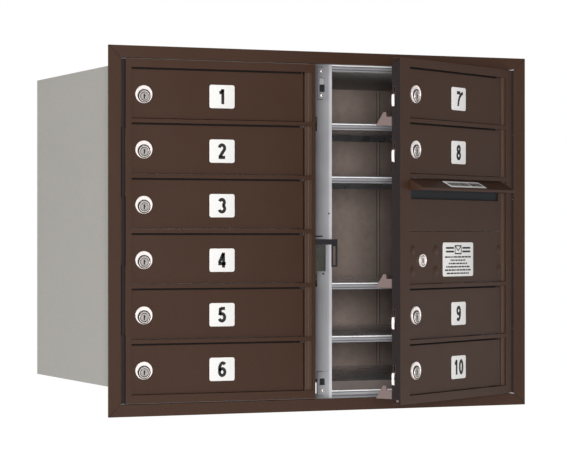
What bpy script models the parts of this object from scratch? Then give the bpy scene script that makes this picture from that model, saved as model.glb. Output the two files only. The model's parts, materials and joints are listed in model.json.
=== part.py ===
"""Recessed wall mailbox unit: two columns of locked tenant doors in two hinged master doors.

Metres, +Z up. X runs to the right seen from the front, Y runs back into the wall, and the
front faces -Y. The origin is the middle of the bottom trim's back face, so Y = 0 is the
surface of the wall that the trim bears on. The right master door stands open on its hinge.
"""
import math

import bmesh
import bpy
from mathutils import Matrix, Vector

MM = 0.001

# ---- door modules ----
ROWS = 6
TENANT_WIDTH = 317.5 * MM          # opening for one tenant door, its hinge ledge included
TENANT_HEIGHT = 82.5 * MM          # opening for one tenant door
RAIL_HEIGHT = 6.4 * MM             # bar between two tenant doors
END_RAIL_HEIGHT = 13.5 * MM        # top and bottom bars of a master door
LEFT_DOOR_STILES = (10 * MM, 5 * MM)
RIGHT_DOOR_STILES = (29 * MM, 18 * MM)
MASTER_DEPTH = 16 * MM             # front face to the back of the flanges
MASTER_SHEET = 2 * MM
RAIL_DEPTH = 10.5 * MM             # front face to the back of rails and lips
FLANGE_NOTCH = 8 * MM              # free-edge flange is shorter than the face at each end

# ---- gaps ----
GAP = 0.3 * MM                     # between pieces that touch
MEETING_GAP = 1.5 * MM             # between the two master doors
EDGE_CLEARANCE = 1.5 * MM          # above and below the master doors
TENANT_CLEARANCE = 1 * MM          # round a tenant door in its opening
TENANT_TOP_CLEARANCE = 3 * MM      # above a tenant door

# ---- trim ----
TRIM_WIDTH = 19.5 * MM
TRIM_THICKNESS = 3 * MM
TRIM_LEG_DEPTH = 13 * MM
TRIM_LEG_THICKNESS = 2 * MM

# ---- body behind the wall ----
BODY_DEPTH = 445 * MM
BODY_SHEET = 1.6 * MM
SILL_STEP = 26 * MM                # body floor above the trim opening's lower edge
HEAD_STEP = 10 * MM                # body roof below the trim opening's upper edge
REAR_FLANGE = 18 * MM
SEAM_INSET = 49 * MM               # lap seam of the back panel, from the body's right side
SEAM_STEP = 2 * MM
SHELF_SHEET = 1.2 * MM
SHELF_LIP = 11 * MM
SHELF_DROP = 1.2 * MM              # middle of the lip, below the middle of the rail in front
SHELF_HEM = 5 * MM
SHELF_REAR_FLANGE = 12 * MM
ROWS_WITH_LEFT_SHELF = (1, 2, 3, 4, 5)
ROWS_WITH_RIGHT_SHELF = (1, 2, 4, 5)
OUTGOING_ROWS = (2, 3)             # the double compartment behind the outgoing slot

# ---- centre post ----
POST_WIDTH = 41 * MM
POST_DEPTH = 52 * MM
POST_SHEET = 2 * MM
STRIKE_PLATE = 1.2 * MM
STRIKE_PLATE_INSETS = (13.5 * MM, 7.5 * MM)    # plate's edges, from the post's left and right edges
STRIKE_PLATE_ENDS = (45 * MM, 59 * MM)         # how far each plate runs in from the opening's end
STRIKE_WINDOW_INSETS = (4.5 * MM, 6 * MM)      # window's edges, from the plate's left and right edges
STRIKE_WINDOWS = ((22.3 * MM, 33.3 * MM), (23 * MM, 46 * MM))    # from the opening's end
HOOK_SLOT_SIDES = (5.5 * MM, 1 * MM)           # slot beyond the hook bar, left and right

# ---- master hinges ----
KNUCKLE_RADIUS = 3.2 * MM
MASTER_PIN_RADIUS = 1.6 * MM
RUNNING_CLEARANCE = 0.3 * MM
KNUCKLE_CLEARANCE = 0.5 * MM
HINGE_GAP = 2 * KNUCKLE_RADIUS + 3.1 * MM      # between a master door and the trim at its hinge
KNUCKLES = 5
MASTER_AXIS_DEPTH = 2 * MM         # hinge axis behind the door's front face
OPEN_ANGLE = math.radians(32.5)    # how far the right master door stands open

# ---- tenant doors ----
TENANT_RECESS = 3.5 * MM
TENANT_SHEET = 2 * MM
TENANT_FLANGE = 6 * MM
TENANT_BARREL_RADIUS = 3.2 * MM
TENANT_PIVOT_RADIUS = 1.5 * MM
TENANT_PIVOT_REACH = 2.2 * MM      # how far each pivot enters its rail
LEDGE_WIDTH = 13 * MM              # fixed strip between a tenant door's hinge and the stile
LEDGE_THICKNESS = 2.5 * MM

# ---- cam locks ----
LOCK_INSET = 21.5 * MM             # lock axis, from the opening's left edge
LOCK_DROP = 5.4 * MM               # lock axis, below the middle of the door
LOCK_FACE_RADIUS = 14.4 * MM
LOCK_FACE_RISE = 3.4 * MM          # face centre above the lock axis
LOCK_FACE_THICKNESS = 2.2 * MM
LOCK_COLLAR_RADIUS = 8.6 * MM
LOCK_COLLAR_LENGTH = 2.2 * MM
LOCK_NECK_RADIUS = 9.5 * MM
LOCK_BACK = 11 * MM                # back of the neck, behind the door frame's front face
PLUG_RADIUS = 6 * MM
CAM_THICKNESS = 2 * MM
CAM_WIDTH = 11 * MM
CAM_REACH = 26 * MM
ARROW_INSET = 43 * MM
ARROW_DROP = 3 * MM
ARROW_FACE_RADIUS = 10.5 * MM
ARROW_PLUG_RADIUS = 5 * MM
ARROW_NECK_RADIUS = 8 * MM
ARROW_BACK = 8.6 * MM
ARROW_ARM = 26 * MM
PLUG_RECESS = 0.8 * MM             # front of each plug, behind the front of its collar
ARROW_PLUG_RECESS = 0.6 * MM

# ---- slots for the lock catches in the free-edge flange ----
CATCH_ROWS = (0, 1, 4, 5)
CATCH_SLOT_DEPTHS = (9 * MM, 13 * MM)          # front and back edges, behind the door's face
CATCH_SLOT_HEIGHTS = (-20 * MM, 14 * MM)       # lower and upper ends, about the lock's axis
FLANGE_NOTCH_DEPTH = 3 * MM                    # front edge of the end notches, behind the face

# ---- hook bar in the right master door ----
HOOK_INSET = 6.5 * MM              # middle of the bar, from the door's free edge
HOOK_THICKNESS = 3 * MM
HOOK_BAR_FRONT = 2.5 * MM          # bar edges, behind the door's front face
HOOK_BAR_BACK = 11 * MM
HOOK_BAR_END = 12 * MM             # bar above its top hook and below its bottom hook
HOOK_HEIGHT = 14 * MM
HOOK_BEAK = 7.3 * MM               # how far the beak stands above the hook's top
HOOK_BEAK_WIDTH = 5 * MM
HOOK_SLANT = 13.5 * MM             # how far the beak's slanting front runs back from the tip
HOOK_REACH = 49 * MM               # hook tip, behind the door's front face
HOOK_ROWS = ((0, 2.25 * MM), (2, 2.25 * MM), (5, -5.25 * MM))    # middles, above a row's lower edge
HOOK_SLOT_CLEARANCE = 2 * MM       # below each hook
BEAK_CLEARANCE = 1 * MM            # above each beak, less than the bar's travel

# ---- outgoing mail hood and slot ----
HOOD_PROJECTION = 24 * MM
HOOD_DROP = 15 * MM
HOOD_LIP = 4 * MM
HOOD_SHEET = 1.6 * MM
SLOT_HEIGHT = 22 * MM
SLOT_END = 8 * MM                  # outgoing panel left of and right of the slot
SLOT_TOP = 12 * MM                 # slot's upper edge, below the opening's upper edge

# ---- latch on the post ----
LATCH_SIZE = (19 * MM, 3.2 * MM, 44 * MM)
LATCH_INSET = 9 * MM               # case, from the post's left edge
LATCH_WINDOW = ((8 * MM, 3 * MM), (17 * MM, 26 * MM))      # corners, from the case's lower left
LATCH_WALL = 1 * MM                # left behind the window
LATCH_ROW = 2
LEVER_THICKNESS = 2.4 * MM
LEVER_BRACKET_HEIGHT = 9 * MM
LEVER_LOOP_WIDTH = 10.5 * MM
LEVER_LOOP_HEIGHT = 37 * MM
LEVER_BAR = 2.6 * MM
LEVER_OVERLAP = 1.5 * MM           # loop's inner edge, inside the post's right edge

# ---- derived places ----
PITCH = TENANT_HEIGHT + RAIL_HEIGHT
MASTER_HEIGHT = ROWS * PITCH - RAIL_HEIGHT + 2 * END_RAIL_HEIGHT
LEFT_DOOR_WIDTH = TENANT_WIDTH + sum(LEFT_DOOR_STILES)
RIGHT_DOOR_WIDTH = TENANT_WIDTH + sum(RIGHT_DOOR_STILES)
OPENING_WIDTH = 2 * HINGE_GAP + LEFT_DOOR_WIDTH + MEETING_GAP + RIGHT_DOOR_WIDTH
OPENING_HEIGHT = MASTER_HEIGHT + 2 * EDGE_CLEARANCE

FRONT = -TRIM_THICKNESS
MASTER_BACK = FRONT + MASTER_DEPTH
FRAME_PLANE = MASTER_BACK + POST_SHEET + 2 * GAP    # front of the body flanges and shelf lips
OPENING_LEFT = -OPENING_WIDTH / 2
OPENING_RIGHT = OPENING_WIDTH / 2
OPENING_BOTTOM = TRIM_WIDTH / 2
OPENING_TOP = OPENING_BOTTOM + OPENING_HEIGHT
MASTER_BOTTOM = OPENING_BOTTOM + EDGE_CLEARANCE
MASTER_TOP = MASTER_BOTTOM + MASTER_HEIGHT
BODY_BOTTOM = OPENING_BOTTOM + SILL_STEP
BODY_TOP = OPENING_TOP - HEAD_STEP
LEFT_DOOR_X = OPENING_LEFT + HINGE_GAP
RIGHT_DOOR_X = LEFT_DOOR_X + LEFT_DOOR_WIDTH + MEETING_GAP
LEFT_OPENING_X = LEFT_DOOR_X + LEFT_DOOR_STILES[0]
RIGHT_OPENING_X = RIGHT_DOOR_X + RIGHT_DOOR_STILES[0]
MASTER_AXIS_OFFSET = KNUCKLE_RADIUS + KNUCKLE_CLEARANCE
LEFT_AXIS = Vector((LEFT_DOOR_X - MASTER_AXIS_OFFSET, FRONT + MASTER_AXIS_DEPTH, 0))
RIGHT_AXIS = Vector((RIGHT_DOOR_X + RIGHT_DOOR_WIDTH + MASTER_AXIS_OFFSET,
                     FRONT + MASTER_AXIS_DEPTH, 0))
TENANT_FACE = FRONT + TENANT_RECESS
TENANT_AXIS_DEPTH = TENANT_FACE + TENANT_BARREL_RADIUS
TENANT_AXIS_X = TENANT_WIDTH - LEDGE_WIDTH - KNUCKLE_CLEARANCE - TENANT_BARREL_RADIUS
HOOK_X = RIGHT_DOOR_X + HOOK_INSET
BACK_FACE = BODY_DEPTH - 3 * BODY_SHEET - 2 * GAP - SEAM_STEP
PARTITION_FRONT = FRAME_PLANE + POST_DEPTH

PAST = 10 * MM                     # how far a cutter runs past what it cuts

# ---- colours: linear RGB, roughness, metallic ----
BRONZE = ((0.060, 0.034, 0.025), 0.5, 0.0)
GREY = ((0.42, 0.40, 0.36), 0.6, 0.0)
SILVER = ((0.60, 0.60, 0.62), 0.35, 1.0)
CHROME = ((0.75, 0.75, 0.75), 0.15, 1.0)
BLACK = ((0.015, 0.015, 0.015), 0.5, 0.0)
ZINC = ((0.42, 0.36, 0.35), 0.45, 1.0)

parts = bpy.data.collections.new("cluster_mailbox_unit")
cutters = bpy.data.collections.new("cutters")


def row_bottom(row):
    """Lower edge of the tenant opening in a row, counted from the bottom."""
    return MASTER_BOTTOM + END_RAIL_HEIGHT + row * PITCH


def row_middle(row):
    return row_bottom(row) + TENANT_HEIGHT / 2


def knuckle_spans(moving):
    """Height spans of the master hinge's knuckles: fixed and moving ones take turns."""
    length = MASTER_HEIGHT / KNUCKLES
    spans = []
    for index in range(KNUCKLES):
        if (index % 2 == 1) == moving:
            low = MASTER_BOTTOM + index * length + KNUCKLE_CLEARANCE
            spans.append((low, low + length - 2 * KNUCKLE_CLEARANCE))
    return spans


# ---- modelling helpers ----

def new_object(name, mesh, collection=parts):
    obj = bpy.data.objects.new(name, mesh)
    collection.objects.link(obj)
    return obj


def mesh_from(bm, name):
    mesh = bpy.data.meshes.new(name)
    bm.to_mesh(mesh)
    bm.free()
    return mesh


def as_cutter(obj):
    """Keep an object out of the model: it only cuts or joins."""
    parts.objects.unlink(obj)
    cutters.objects.link(obj)
    obj.hide_render = True
    obj.display_type = "WIRE"
    return obj


def boxes(name, spans):
    """One object with a box for each pair of opposite corners."""
    bm = bmesh.new()
    for low, high in spans:
        low, high = Vector(low), Vector(high)
        size = Matrix.Diagonal((*(high - low), 1))
        bmesh.ops.create_cube(bm, size=1, matrix=Matrix.Translation((low + high) / 2) @ size)
    return new_object(name, mesh_from(bm, name))


def rods(name, spans, segments=20):
    """One object with a cylinder for each (start, end, radius)."""
    bm = bmesh.new()
    for start, end, radius in spans:
        start, end = Vector(start), Vector(end)
        turn = (end - start).to_track_quat("Z", "Y").to_matrix().to_4x4()
        place = Matrix.Translation((start + end) / 2) @ turn
        bmesh.ops.create_cone(bm, cap_ends=True, segments=segments, radius1=radius,
                              radius2=radius, depth=(end - start).length, matrix=place)
    return new_object(name, mesh_from(bm, name))


def plate(name, outline, plane, start, end):
    """A flat outline given thickness; plane XZ has its thickness along Y, YZ along X."""
    curve = bpy.data.curves.new(name, "CURVE")
    curve.dimensions = "2D"
    curve.fill_mode = "BOTH"
    curve.extrude = abs(end - start) / 2
    spline = curve.splines.new("POLY")
    spline.points.add(len(outline) - 1)
    for point, (across, up) in zip(spline.points, outline):
        point.co = (across, up, 0, 1)
    spline.use_cyclic_u = True
    middle = (start + end) / 2
    turns = {
        "XY": Matrix.Translation((0, 0, middle)),
        "XZ": Matrix.Translation((0, middle, 0)) @ Matrix.Rotation(math.pi / 2, 4, "X"),
        "YZ": Matrix.Translation((middle, 0, 0)) @ Matrix(
            ((0, 0, 1, 0), (1, 0, 0, 0), (0, 1, 0, 0), (0, 0, 0, 1))),
    }
    guide = new_object(name + "_outline", curve)
    bpy.context.view_layer.update()
    seen = guide.evaluated_get(bpy.context.evaluated_depsgraph_get())
    mesh = bpy.data.meshes.new_from_object(seen)
    mesh.transform(turns[plane])
    bm = bmesh.new()
    bm.from_mesh(mesh)
    bmesh.ops.remove_doubles(bm, verts=bm.verts, dist=1e-6)
    bmesh.ops.recalc_face_normals(bm, faces=bm.faces)
    bm.to_mesh(mesh)
    bm.free()
    mesh.materials.clear()
    bpy.data.objects.remove(guide)
    return new_object(name, mesh)


def folded_sheet(name, path, plane, start, end, thickness):
    """A folded sheet: an open surface along the path, given its thickness on both sides."""
    bm = bmesh.new()
    for across, up in path:
        if plane == "YZ":
            bm.verts.new((start, across, up))
        else:
            bm.verts.new((across, up, start))
    bm.verts.ensure_lookup_table()
    edges = [bm.edges.new((bm.verts[i], bm.verts[i + 1])) for i in range(len(path) - 1)]
    along = Vector((end - start, 0, 0)) if plane == "YZ" else Vector((0, 0, end - start))
    made = bmesh.ops.extrude_edge_only(bm, edges=edges)["geom"]
    moved = [item for item in made if isinstance(item, bmesh.types.BMVert)]
    bmesh.ops.translate(bm, verts=moved, vec=along)
    obj = new_object(name, mesh_from(bm, name))
    solid = obj.modifiers.new("thickness", "SOLIDIFY")
    solid.thickness = thickness
    solid.offset = 0
    solid.use_even_offset = True
    return obj


def boolean(obj, tool, operation):
    step = obj.modifiers.new(tool.name, "BOOLEAN")
    step.operation = operation
    step.object = as_cutter(tool)


def cut(obj, tool):
    boolean(obj, tool, "DIFFERENCE")


def join(obj, tool):
    boolean(obj, tool, "UNION")


def baked(obj):
    """The object's shape with its modifiers applied; the object and its tools go."""
    bpy.context.view_layer.update()
    seen = obj.evaluated_get(bpy.context.evaluated_depsgraph_get())
    mesh = bpy.data.meshes.new_from_object(seen)
    tools = [step.object for step in obj.modifiers if step.type == "BOOLEAN"]
    for item in [obj, *tools]:
        bpy.data.objects.remove(item)
    return mesh


def round_off(mesh, angle=35):
    mesh.shade_smooth()
    mesh.set_sharp_from_angle(angle=math.radians(angle))
    return mesh


def finish(obj, colour, parent=None, closed=(0, 0, 0)):
    """Give a part its own material, and its place in the closed unit, under its pivot."""
    rgb, roughness, metallic = colour
    material = bpy.data.materials.new(obj.name)
    material.use_nodes = True
    shader = material.node_tree.nodes["Principled BSDF"]
    shader.inputs["Base Color"].default_value = (*rgb, 1)
    shader.inputs["Roughness"].default_value = roughness
    shader.inputs["Metallic"].default_value = metallic
    if not obj.data.materials:
        obj.data.materials.append(None)
    obj.material_slots[0].link = "OBJECT"
    obj.material_slots[0].material = material
    hold(obj, parent, Vector(closed))


def hold(obj, parent, closed):
    """Place an object, and its tools, by its place in the closed unit."""
    base = Vector(parent["closed"]) if parent else Vector((0, 0, 0))
    for item in [obj] + [step.object for step in obj.modifiers if step.type == "BOOLEAN"]:
        item.parent = parent
        item.location = closed - base
    obj["closed"] = closed


def pivot(name, closed, angle):
    """An empty on a hinge axis, turned to where the door stands."""
    empty = bpy.data.objects.new(name, None)
    cutters.objects.link(empty)
    empty.location = closed
    empty.rotation_euler = (0, 0, angle)
    empty["closed"] = closed
    return empty


# ---- trim ----

def make_trim():
    """Four mitred angle pieces round the opening; the side ones carry the hinge pins."""
    outer = (OPENING_LEFT - TRIM_WIDTH, OPENING_BOTTOM - TRIM_WIDTH,
             OPENING_RIGHT + TRIM_WIDTH, OPENING_TOP + TRIM_WIDTH)
    inner = (OPENING_LEFT, OPENING_BOTTOM, OPENING_RIGHT, OPENING_TOP)
    leg = (OPENING_LEFT - TRIM_LEG_THICKNESS - GAP, OPENING_BOTTOM - TRIM_LEG_THICKNESS - GAP,
           OPENING_RIGHT + TRIM_LEG_THICKNESS + GAP, OPENING_TOP + TRIM_LEG_THICKNESS + GAP)
    for side in ("bottom", "right", "top", "left"):
        face = mitred(side, outer, inner)
        piece = plate("trim_" + side, face, "XZ", FRONT, 0)
        join(piece, leg_box(side, leg))
        if side in ("left", "right"):
            add_fixed_hinge(piece, side)
        finish(piece, BRONZE)


def mitred(side, outer, inner):
    """Outline of one trim face, shortened so that the mitres keep their gap."""
    slack = GAP / 2
    left, bottom, right, top = outer
    in_left, in_bottom, in_right, in_top = inner
    return {
        "bottom": ((left + slack, bottom), (right - slack, bottom),
                   (in_right - slack, in_bottom), (in_left + slack, in_bottom)),
        "top": ((in_left + slack, in_top), (in_right - slack, in_top),
                (right - slack, top), (left + slack, top)),
        "left": ((left, bottom + slack), (in_left, in_bottom + slack),
                 (in_left, in_top - slack), (left, top - slack)),
        "right": ((in_right, in_bottom + slack), (right, bottom + slack),
                  (right, top - slack), (in_right, in_top - slack)),
    }[side]


def leg_box(side, leg):
    """The trim's return leg, which runs back round the outside of the opening."""
    left, bottom, right, top = leg
    thick = TRIM_LEG_THICKNESS
    x_low, x_high = OPENING_LEFT + GAP, OPENING_RIGHT - GAP
    z_low, z_high = OPENING_BOTTOM + GAP, OPENING_TOP - GAP
    low, back = -TRIM_THICKNESS / 2, TRIM_LEG_DEPTH
    spans = {
        "bottom": ((x_low, low, bottom), (x_high, back, bottom + thick)),
        "top": ((x_low, low, top - thick), (x_high, back, top)),
        "left": ((left, low, z_low), (left + thick, back, z_high)),
        "right": ((right - thick, low, z_low), (right, back, z_high)),
    }
    return boxes("leg_" + side, [spans[side]])


def add_fixed_hinge(piece, side):
    """Hinge leaf, fixed knuckles and the pin through them, all one with the side trim."""
    axis = LEFT_AXIS if side == "left" else RIGHT_AXIS
    away = -1 if side == "left" else 1
    edge = OPENING_LEFT if side == "left" else OPENING_RIGHT
    leaf_edge = axis.x + away * MASTER_AXIS_OFFSET
    leaf_front, leaf_back = axis.y - MASTER_SHEET / 2, axis.y + MASTER_SHEET / 2
    leaf = sorted((edge + away * TRIM_LEG_THICKNESS, leaf_edge))
    join(piece, boxes("leaf_" + side, [((leaf[0], leaf_front, MASTER_BOTTOM),
                                        (leaf[1], leaf_back, MASTER_TOP))]))
    web = sorted((leaf_edge + away * MASTER_SHEET, axis.x))
    webs = [((web[0], leaf_front, low), (web[1], leaf_back, high))
            for low, high in knuckle_spans(False)]
    join(piece, boxes("webs_" + side, webs))
    knuckles = [((axis.x, axis.y, low), (axis.x, axis.y, high), KNUCKLE_RADIUS)
                for low, high in knuckle_spans(False)]
    join(piece, rods("knuckles_" + side, knuckles))
    pin = ((axis.x, axis.y, MASTER_BOTTOM + MASTER_SHEET),
           (axis.x, axis.y, MASTER_TOP - MASTER_SHEET), MASTER_PIN_RADIUS)
    join(piece, rods("pin_" + side, [pin], 12))


# ---- body behind the wall ----

def make_body():
    half = BODY_SHEET / 2
    rear = BODY_DEPTH - half
    for side, away in (("left", -1), ("right", 1)):
        x = away * (OPENING_WIDTH / 2 - half)
        path = ((x, GAP), (x, rear), (x - away * REAR_FLANGE, rear))
        panel = folded_sheet("side_panel_" + side, path, "XY", BODY_BOTTOM, BODY_TOP, BODY_SHEET)
        finish(panel, GREY)
    left = OPENING_LEFT + BODY_SHEET + GAP
    right = -left
    flange = FRAME_PLANE + half
    end = BODY_DEPTH - BODY_SHEET - GAP - half
    floor = BODY_BOTTOM + half
    path = ((flange, OPENING_BOTTOM - TRIM_LEG_THICKNESS), (flange, floor), (end, floor),
            (end, floor + REAR_FLANGE))
    bottom = folded_sheet("bottom_panel", path, "YZ", left, right, BODY_SHEET)
    cut(bottom, boxes("hook_notch", [
        hook_slot(*HOOK_ROWS[0], FRONT + HOOK_REACH + HOOK_SLOT_CLEARANCE)]))
    finish(bottom, GREY)
    roof = BODY_TOP - half
    path = ((flange, OPENING_TOP + TRIM_LEG_THICKNESS), (flange, roof), (end, roof),
            (end, roof - REAR_FLANGE))
    finish(folded_sheet("top_panel", path, "YZ", left, right, BODY_SHEET), GREY)
    make_back(left, right, end)
    partition = boxes("center_partition", [(
        (-half, PARTITION_FRONT, BODY_BOTTOM + BODY_SHEET + GAP),
        (half, BACK_FACE - GAP, BODY_TOP - BODY_SHEET - GAP))])
    finish(partition, GREY)


def make_back(left, right, end):
    """Back panel in front of the rear flanges, with a lap seam near the right side."""
    rear = end - BODY_SHEET - GAP
    seam = OPENING_RIGHT - SEAM_INSET
    path = ((left, rear), (seam - SEAM_STEP, rear), (seam, rear - SEAM_STEP),
            (right, rear - SEAM_STEP))
    panel = folded_sheet("back_panel", path, "XY", BODY_BOTTOM + BODY_SHEET + GAP,
                         BODY_TOP - BODY_SHEET - GAP, BODY_SHEET)
    finish(panel, GREY)


def make_shelves():
    """Each shelf spans one column, with a hemmed front lip and a notch round the post."""
    half = SHELF_SHEET / 2
    side = OPENING_WIDTH / 2 - BODY_SHEET - GAP
    middle = BODY_SHEET / 2 + GAP
    columns = (("left", ROWS_WITH_LEFT_SHELF, -side, -middle),
               ("right", ROWS_WITH_RIGHT_SHELF, middle, side))
    back = BACK_FACE - GAP - half
    for column, rows, left, right in columns:
        for index, row in enumerate(rows):
            lip_middle = row_bottom(row) - RAIL_HEIGHT / 2 - SHELF_DROP
            low = lip_middle - SHELF_LIP / 2 + half
            high = lip_middle + SHELF_LIP / 2 - half
            front = FRAME_PLANE + half
            path = ((front + SHELF_HEM, low), (front, low), (front, high), (back, high),
                    (back, high - SHELF_REAR_FLANGE))
            shelf = folded_sheet("shelf_%s_%d" % (column, index + 1), path, "YZ", left, right,
                                 SHELF_SHEET)
            post = POST_WIDTH / 2 + GAP
            notch = boxes("post_notch", [((-post, 0, low - SHELF_LIP),
                                          (post, PARTITION_FRONT + GAP, high + SHELF_LIP))])
            cut(shelf, notch)
            finish(shelf, SILVER)


def make_post():
    """Channel between the columns: strike plates, hook slots and a slotted head."""
    half = POST_SHEET / 2
    x = POST_WIDTH / 2 - half
    face = MASTER_BACK + GAP + half
    back = PARTITION_FRONT - GAP
    path = ((-x, back), (-x, face), (x, face), (x, back))
    post = folded_sheet("center_post", path, "XY", OPENING_BOTTOM, OPENING_TOP, POST_SHEET)
    behind = MASTER_BACK + GAP + POST_SHEET
    wide = POST_WIDTH
    floor, roof = BODY_BOTTOM + BODY_SHEET + GAP, BODY_TOP - BODY_SHEET - GAP
    cut(post, boxes("post_ends", [
        ((-wide, behind, OPENING_BOTTOM - wide), (wide, back + wide, floor)),
        ((-wide, behind, roof), (wide, back + wide, OPENING_TOP + wide))]))
    plate_left = -POST_WIDTH / 2 + STRIKE_PLATE_INSETS[0]
    plate_right = POST_WIDTH / 2 - STRIKE_PLATE_INSETS[1]
    clear = MASTER_SHEET + TENANT_CLEARANCE
    spans = ((MASTER_BOTTOM + clear, OPENING_BOTTOM + STRIKE_PLATE_ENDS[0]),
             (OPENING_TOP - STRIKE_PLATE_ENDS[1], MASTER_TOP - clear))
    join(post, boxes("strike_plates", [
        ((plate_left, MASTER_BACK + GAP - STRIKE_PLATE, low), (plate_right, face, high))
        for low, high in spans]))
    cut(post, boxes("hook_slots", [hook_slot(row, offset, back / 2) for row, offset in HOOK_ROWS]))
    lower, upper = STRIKE_WINDOWS
    spans = ((OPENING_BOTTOM + lower[0], OPENING_BOTTOM + lower[1]),
             (OPENING_TOP - upper[1], OPENING_TOP - upper[0]))
    cut(post, boxes("strike_windows", [
        ((plate_left + STRIKE_WINDOW_INSETS[0], 0, low),
         (plate_right - STRIKE_WINDOW_INSETS[1], back / 2, high)) for low, high in spans]))
    finish(post, SILVER)


def hook_height(row, offset):
    return row_bottom(row) + offset


def hook_slot(row, offset, back):
    """Corners of the slot that one hook passes through, as deep as the given place."""
    middle = hook_height(row, offset)
    return ((HOOK_X - HOOK_THICKNESS / 2 - HOOK_SLOT_SIDES[0], 0,
             middle - HOOK_HEIGHT / 2 - HOOK_SLOT_CLEARANCE),
            (HOOK_X + HOOK_THICKNESS / 2 + HOOK_SLOT_SIDES[1], back,
             middle + HOOK_HEIGHT / 2 + HOOK_BEAK + BEAK_CLEARANCE))


def make_latch():
    """Black latch case on the post, and the looped lever that lifts to free the left door."""
    width, depth, height = LATCH_SIZE
    back = MASTER_BACK
    left = -POST_WIDTH / 2 + LATCH_INSET
    middle = row_middle(LATCH_ROW)
    low = middle - height / 2
    case = boxes("latch_housing", [((left, back - depth, low), (left + width, back, low + height))])
    corner, opposite = LATCH_WINDOW
    cut(case, boxes("latch_window", [((left + corner[0], 0, low + corner[1]),
                                      (left + opposite[0], back - LATCH_WALL, low + opposite[1]))]))
    finish(case, BLACK)
    front = back - LEVER_THICKNESS
    right = POST_WIDTH / 2 - LEVER_OVERLAP + LEVER_LOOP_WIDTH
    top = middle + height / 2 + GAP
    bottom = top - LEVER_LOOP_HEIGHT
    lever = boxes("release_lever", [((right - LEVER_LOOP_WIDTH, front, bottom),
                                     (right, back, top + LEVER_BRACKET_HEIGHT))])
    join(lever, boxes("lever_bracket", [((left, front, top),
                                         (right - LEVER_BAR, back, top + LEVER_BRACKET_HEIGHT))]))
    cut(lever, boxes("lever_hole", [
        ((right - LEVER_LOOP_WIDTH + LEVER_BAR, 0, bottom + LEVER_BAR),
         (right - LEVER_BAR, back + PAST, top - LEVER_BAR))]))
    finish(lever, BLACK)


# ---- master doors ----

def make_master_frame(name, door_x, stiles, axis, parent, door_rows):
    """Pressed frame: a face with a flange all round, rails, lips and a hinge ledge."""
    width = TENANT_WIDTH + sum(stiles)
    open_left = door_x + stiles[0]
    open_right = open_left + TENANT_WIDTH
    sheet = MASTER_SHEET
    frame = boxes(name, [((door_x, FRONT, MASTER_BOTTOM),
                          (door_x + width, MASTER_BACK, MASTER_TOP))])
    behind = MASTER_BACK + sheet
    rail_back = FRONT + RAIL_DEPTH
    inside = boxes("inside", [((door_x + sheet, rail_back, MASTER_BOTTOM + sheet),
                               (door_x + width - sheet, behind, MASTER_TOP - sheet))])
    cut(frame, inside)
    pockets = []
    for low, high in ((door_x + sheet, open_left - sheet),
                      (open_right + sheet, door_x + width - sheet)):
        if high - low > sheet:
            pockets.append(((low, FRONT + sheet, MASTER_BOTTOM + sheet),
                            (high, behind, MASTER_TOP - sheet)))
    if pockets:
        cut(frame, boxes("stile_pockets", pockets))
    end_web = RAIL_HEIGHT
    ends = [((open_left, FRONT + sheet, MASTER_BOTTOM + sheet),
             (open_right, behind, row_bottom(0) - end_web)),
            ((open_left, FRONT + sheet, row_bottom(ROWS) - RAIL_HEIGHT + end_web),
             (open_right, behind, MASTER_TOP - sheet))]
    cut(frame, boxes("end_pockets", ends))
    ledge_x = open_left + TENANT_AXIS_X + TENANT_BARREL_RADIUS + KNUCKLE_CLEARANCE
    pivot_x = open_left + TENANT_AXIS_X
    reach = TENANT_PIVOT_REACH + RUNNING_CLEARANCE
    ledge_back = TENANT_FACE + LEDGE_THICKNESS
    through, recesses, rear, holes = [], [], [], []
    for rows in door_rows:
        low, high = row_bottom(rows[0]), row_bottom(rows[-1]) + TENANT_HEIGHT
        through.append(((open_left, FRONT - sheet, low), (ledge_x, behind, high)))
        recesses.append(((open_left, FRONT - sheet, low), (open_right, TENANT_FACE, high)))
        rear.append(((ledge_x - sheet, ledge_back, low), (open_right, behind, high)))
        holes.append(((pivot_x, TENANT_AXIS_DEPTH, low - reach),
                      (pivot_x, TENANT_AXIS_DEPTH, high + reach),
                      TENANT_PIVOT_RADIUS + RUNNING_CLEARANCE))
    cut(frame, boxes("door_openings", through))
    cut(frame, boxes("door_recesses", recesses))
    cut(frame, boxes("ledge_backs", rear))
    cut(frame, rods("pivot_holes", holes, 12))
    add_moving_hinge(frame, axis, door_x, width)
    finish(frame, BRONZE, parent, (0, 0, 0))
    return frame


def add_moving_hinge(frame, axis, door_x, width):
    """Knuckles on the frame's hinge edge, bored for the pin."""
    inward = 1 if axis.x < door_x else -1
    edge = door_x if inward == 1 else door_x + width
    web = sorted((axis.x, edge + inward * MASTER_SHEET / 2))
    front, back = axis.y - MASTER_SHEET / 2, axis.y + MASTER_SHEET / 2
    spans = knuckle_spans(True)
    join(frame, boxes("hinge_webs", [((web[0], front, low), (web[1], back, high))
                                     for low, high in spans]))
    join(frame, rods("moving_knuckles", [((axis.x, axis.y, low), (axis.x, axis.y, high),
                                          KNUCKLE_RADIUS) for low, high in spans]))
    bore = MASTER_PIN_RADIUS + RUNNING_CLEARANCE
    cut(frame, rods("hinge_bores", [((axis.x, axis.y, low - GAP), (axis.x, axis.y, high + GAP),
                                     bore) for low, high in spans], 16))


# ---- tenant doors and locks ----

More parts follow.
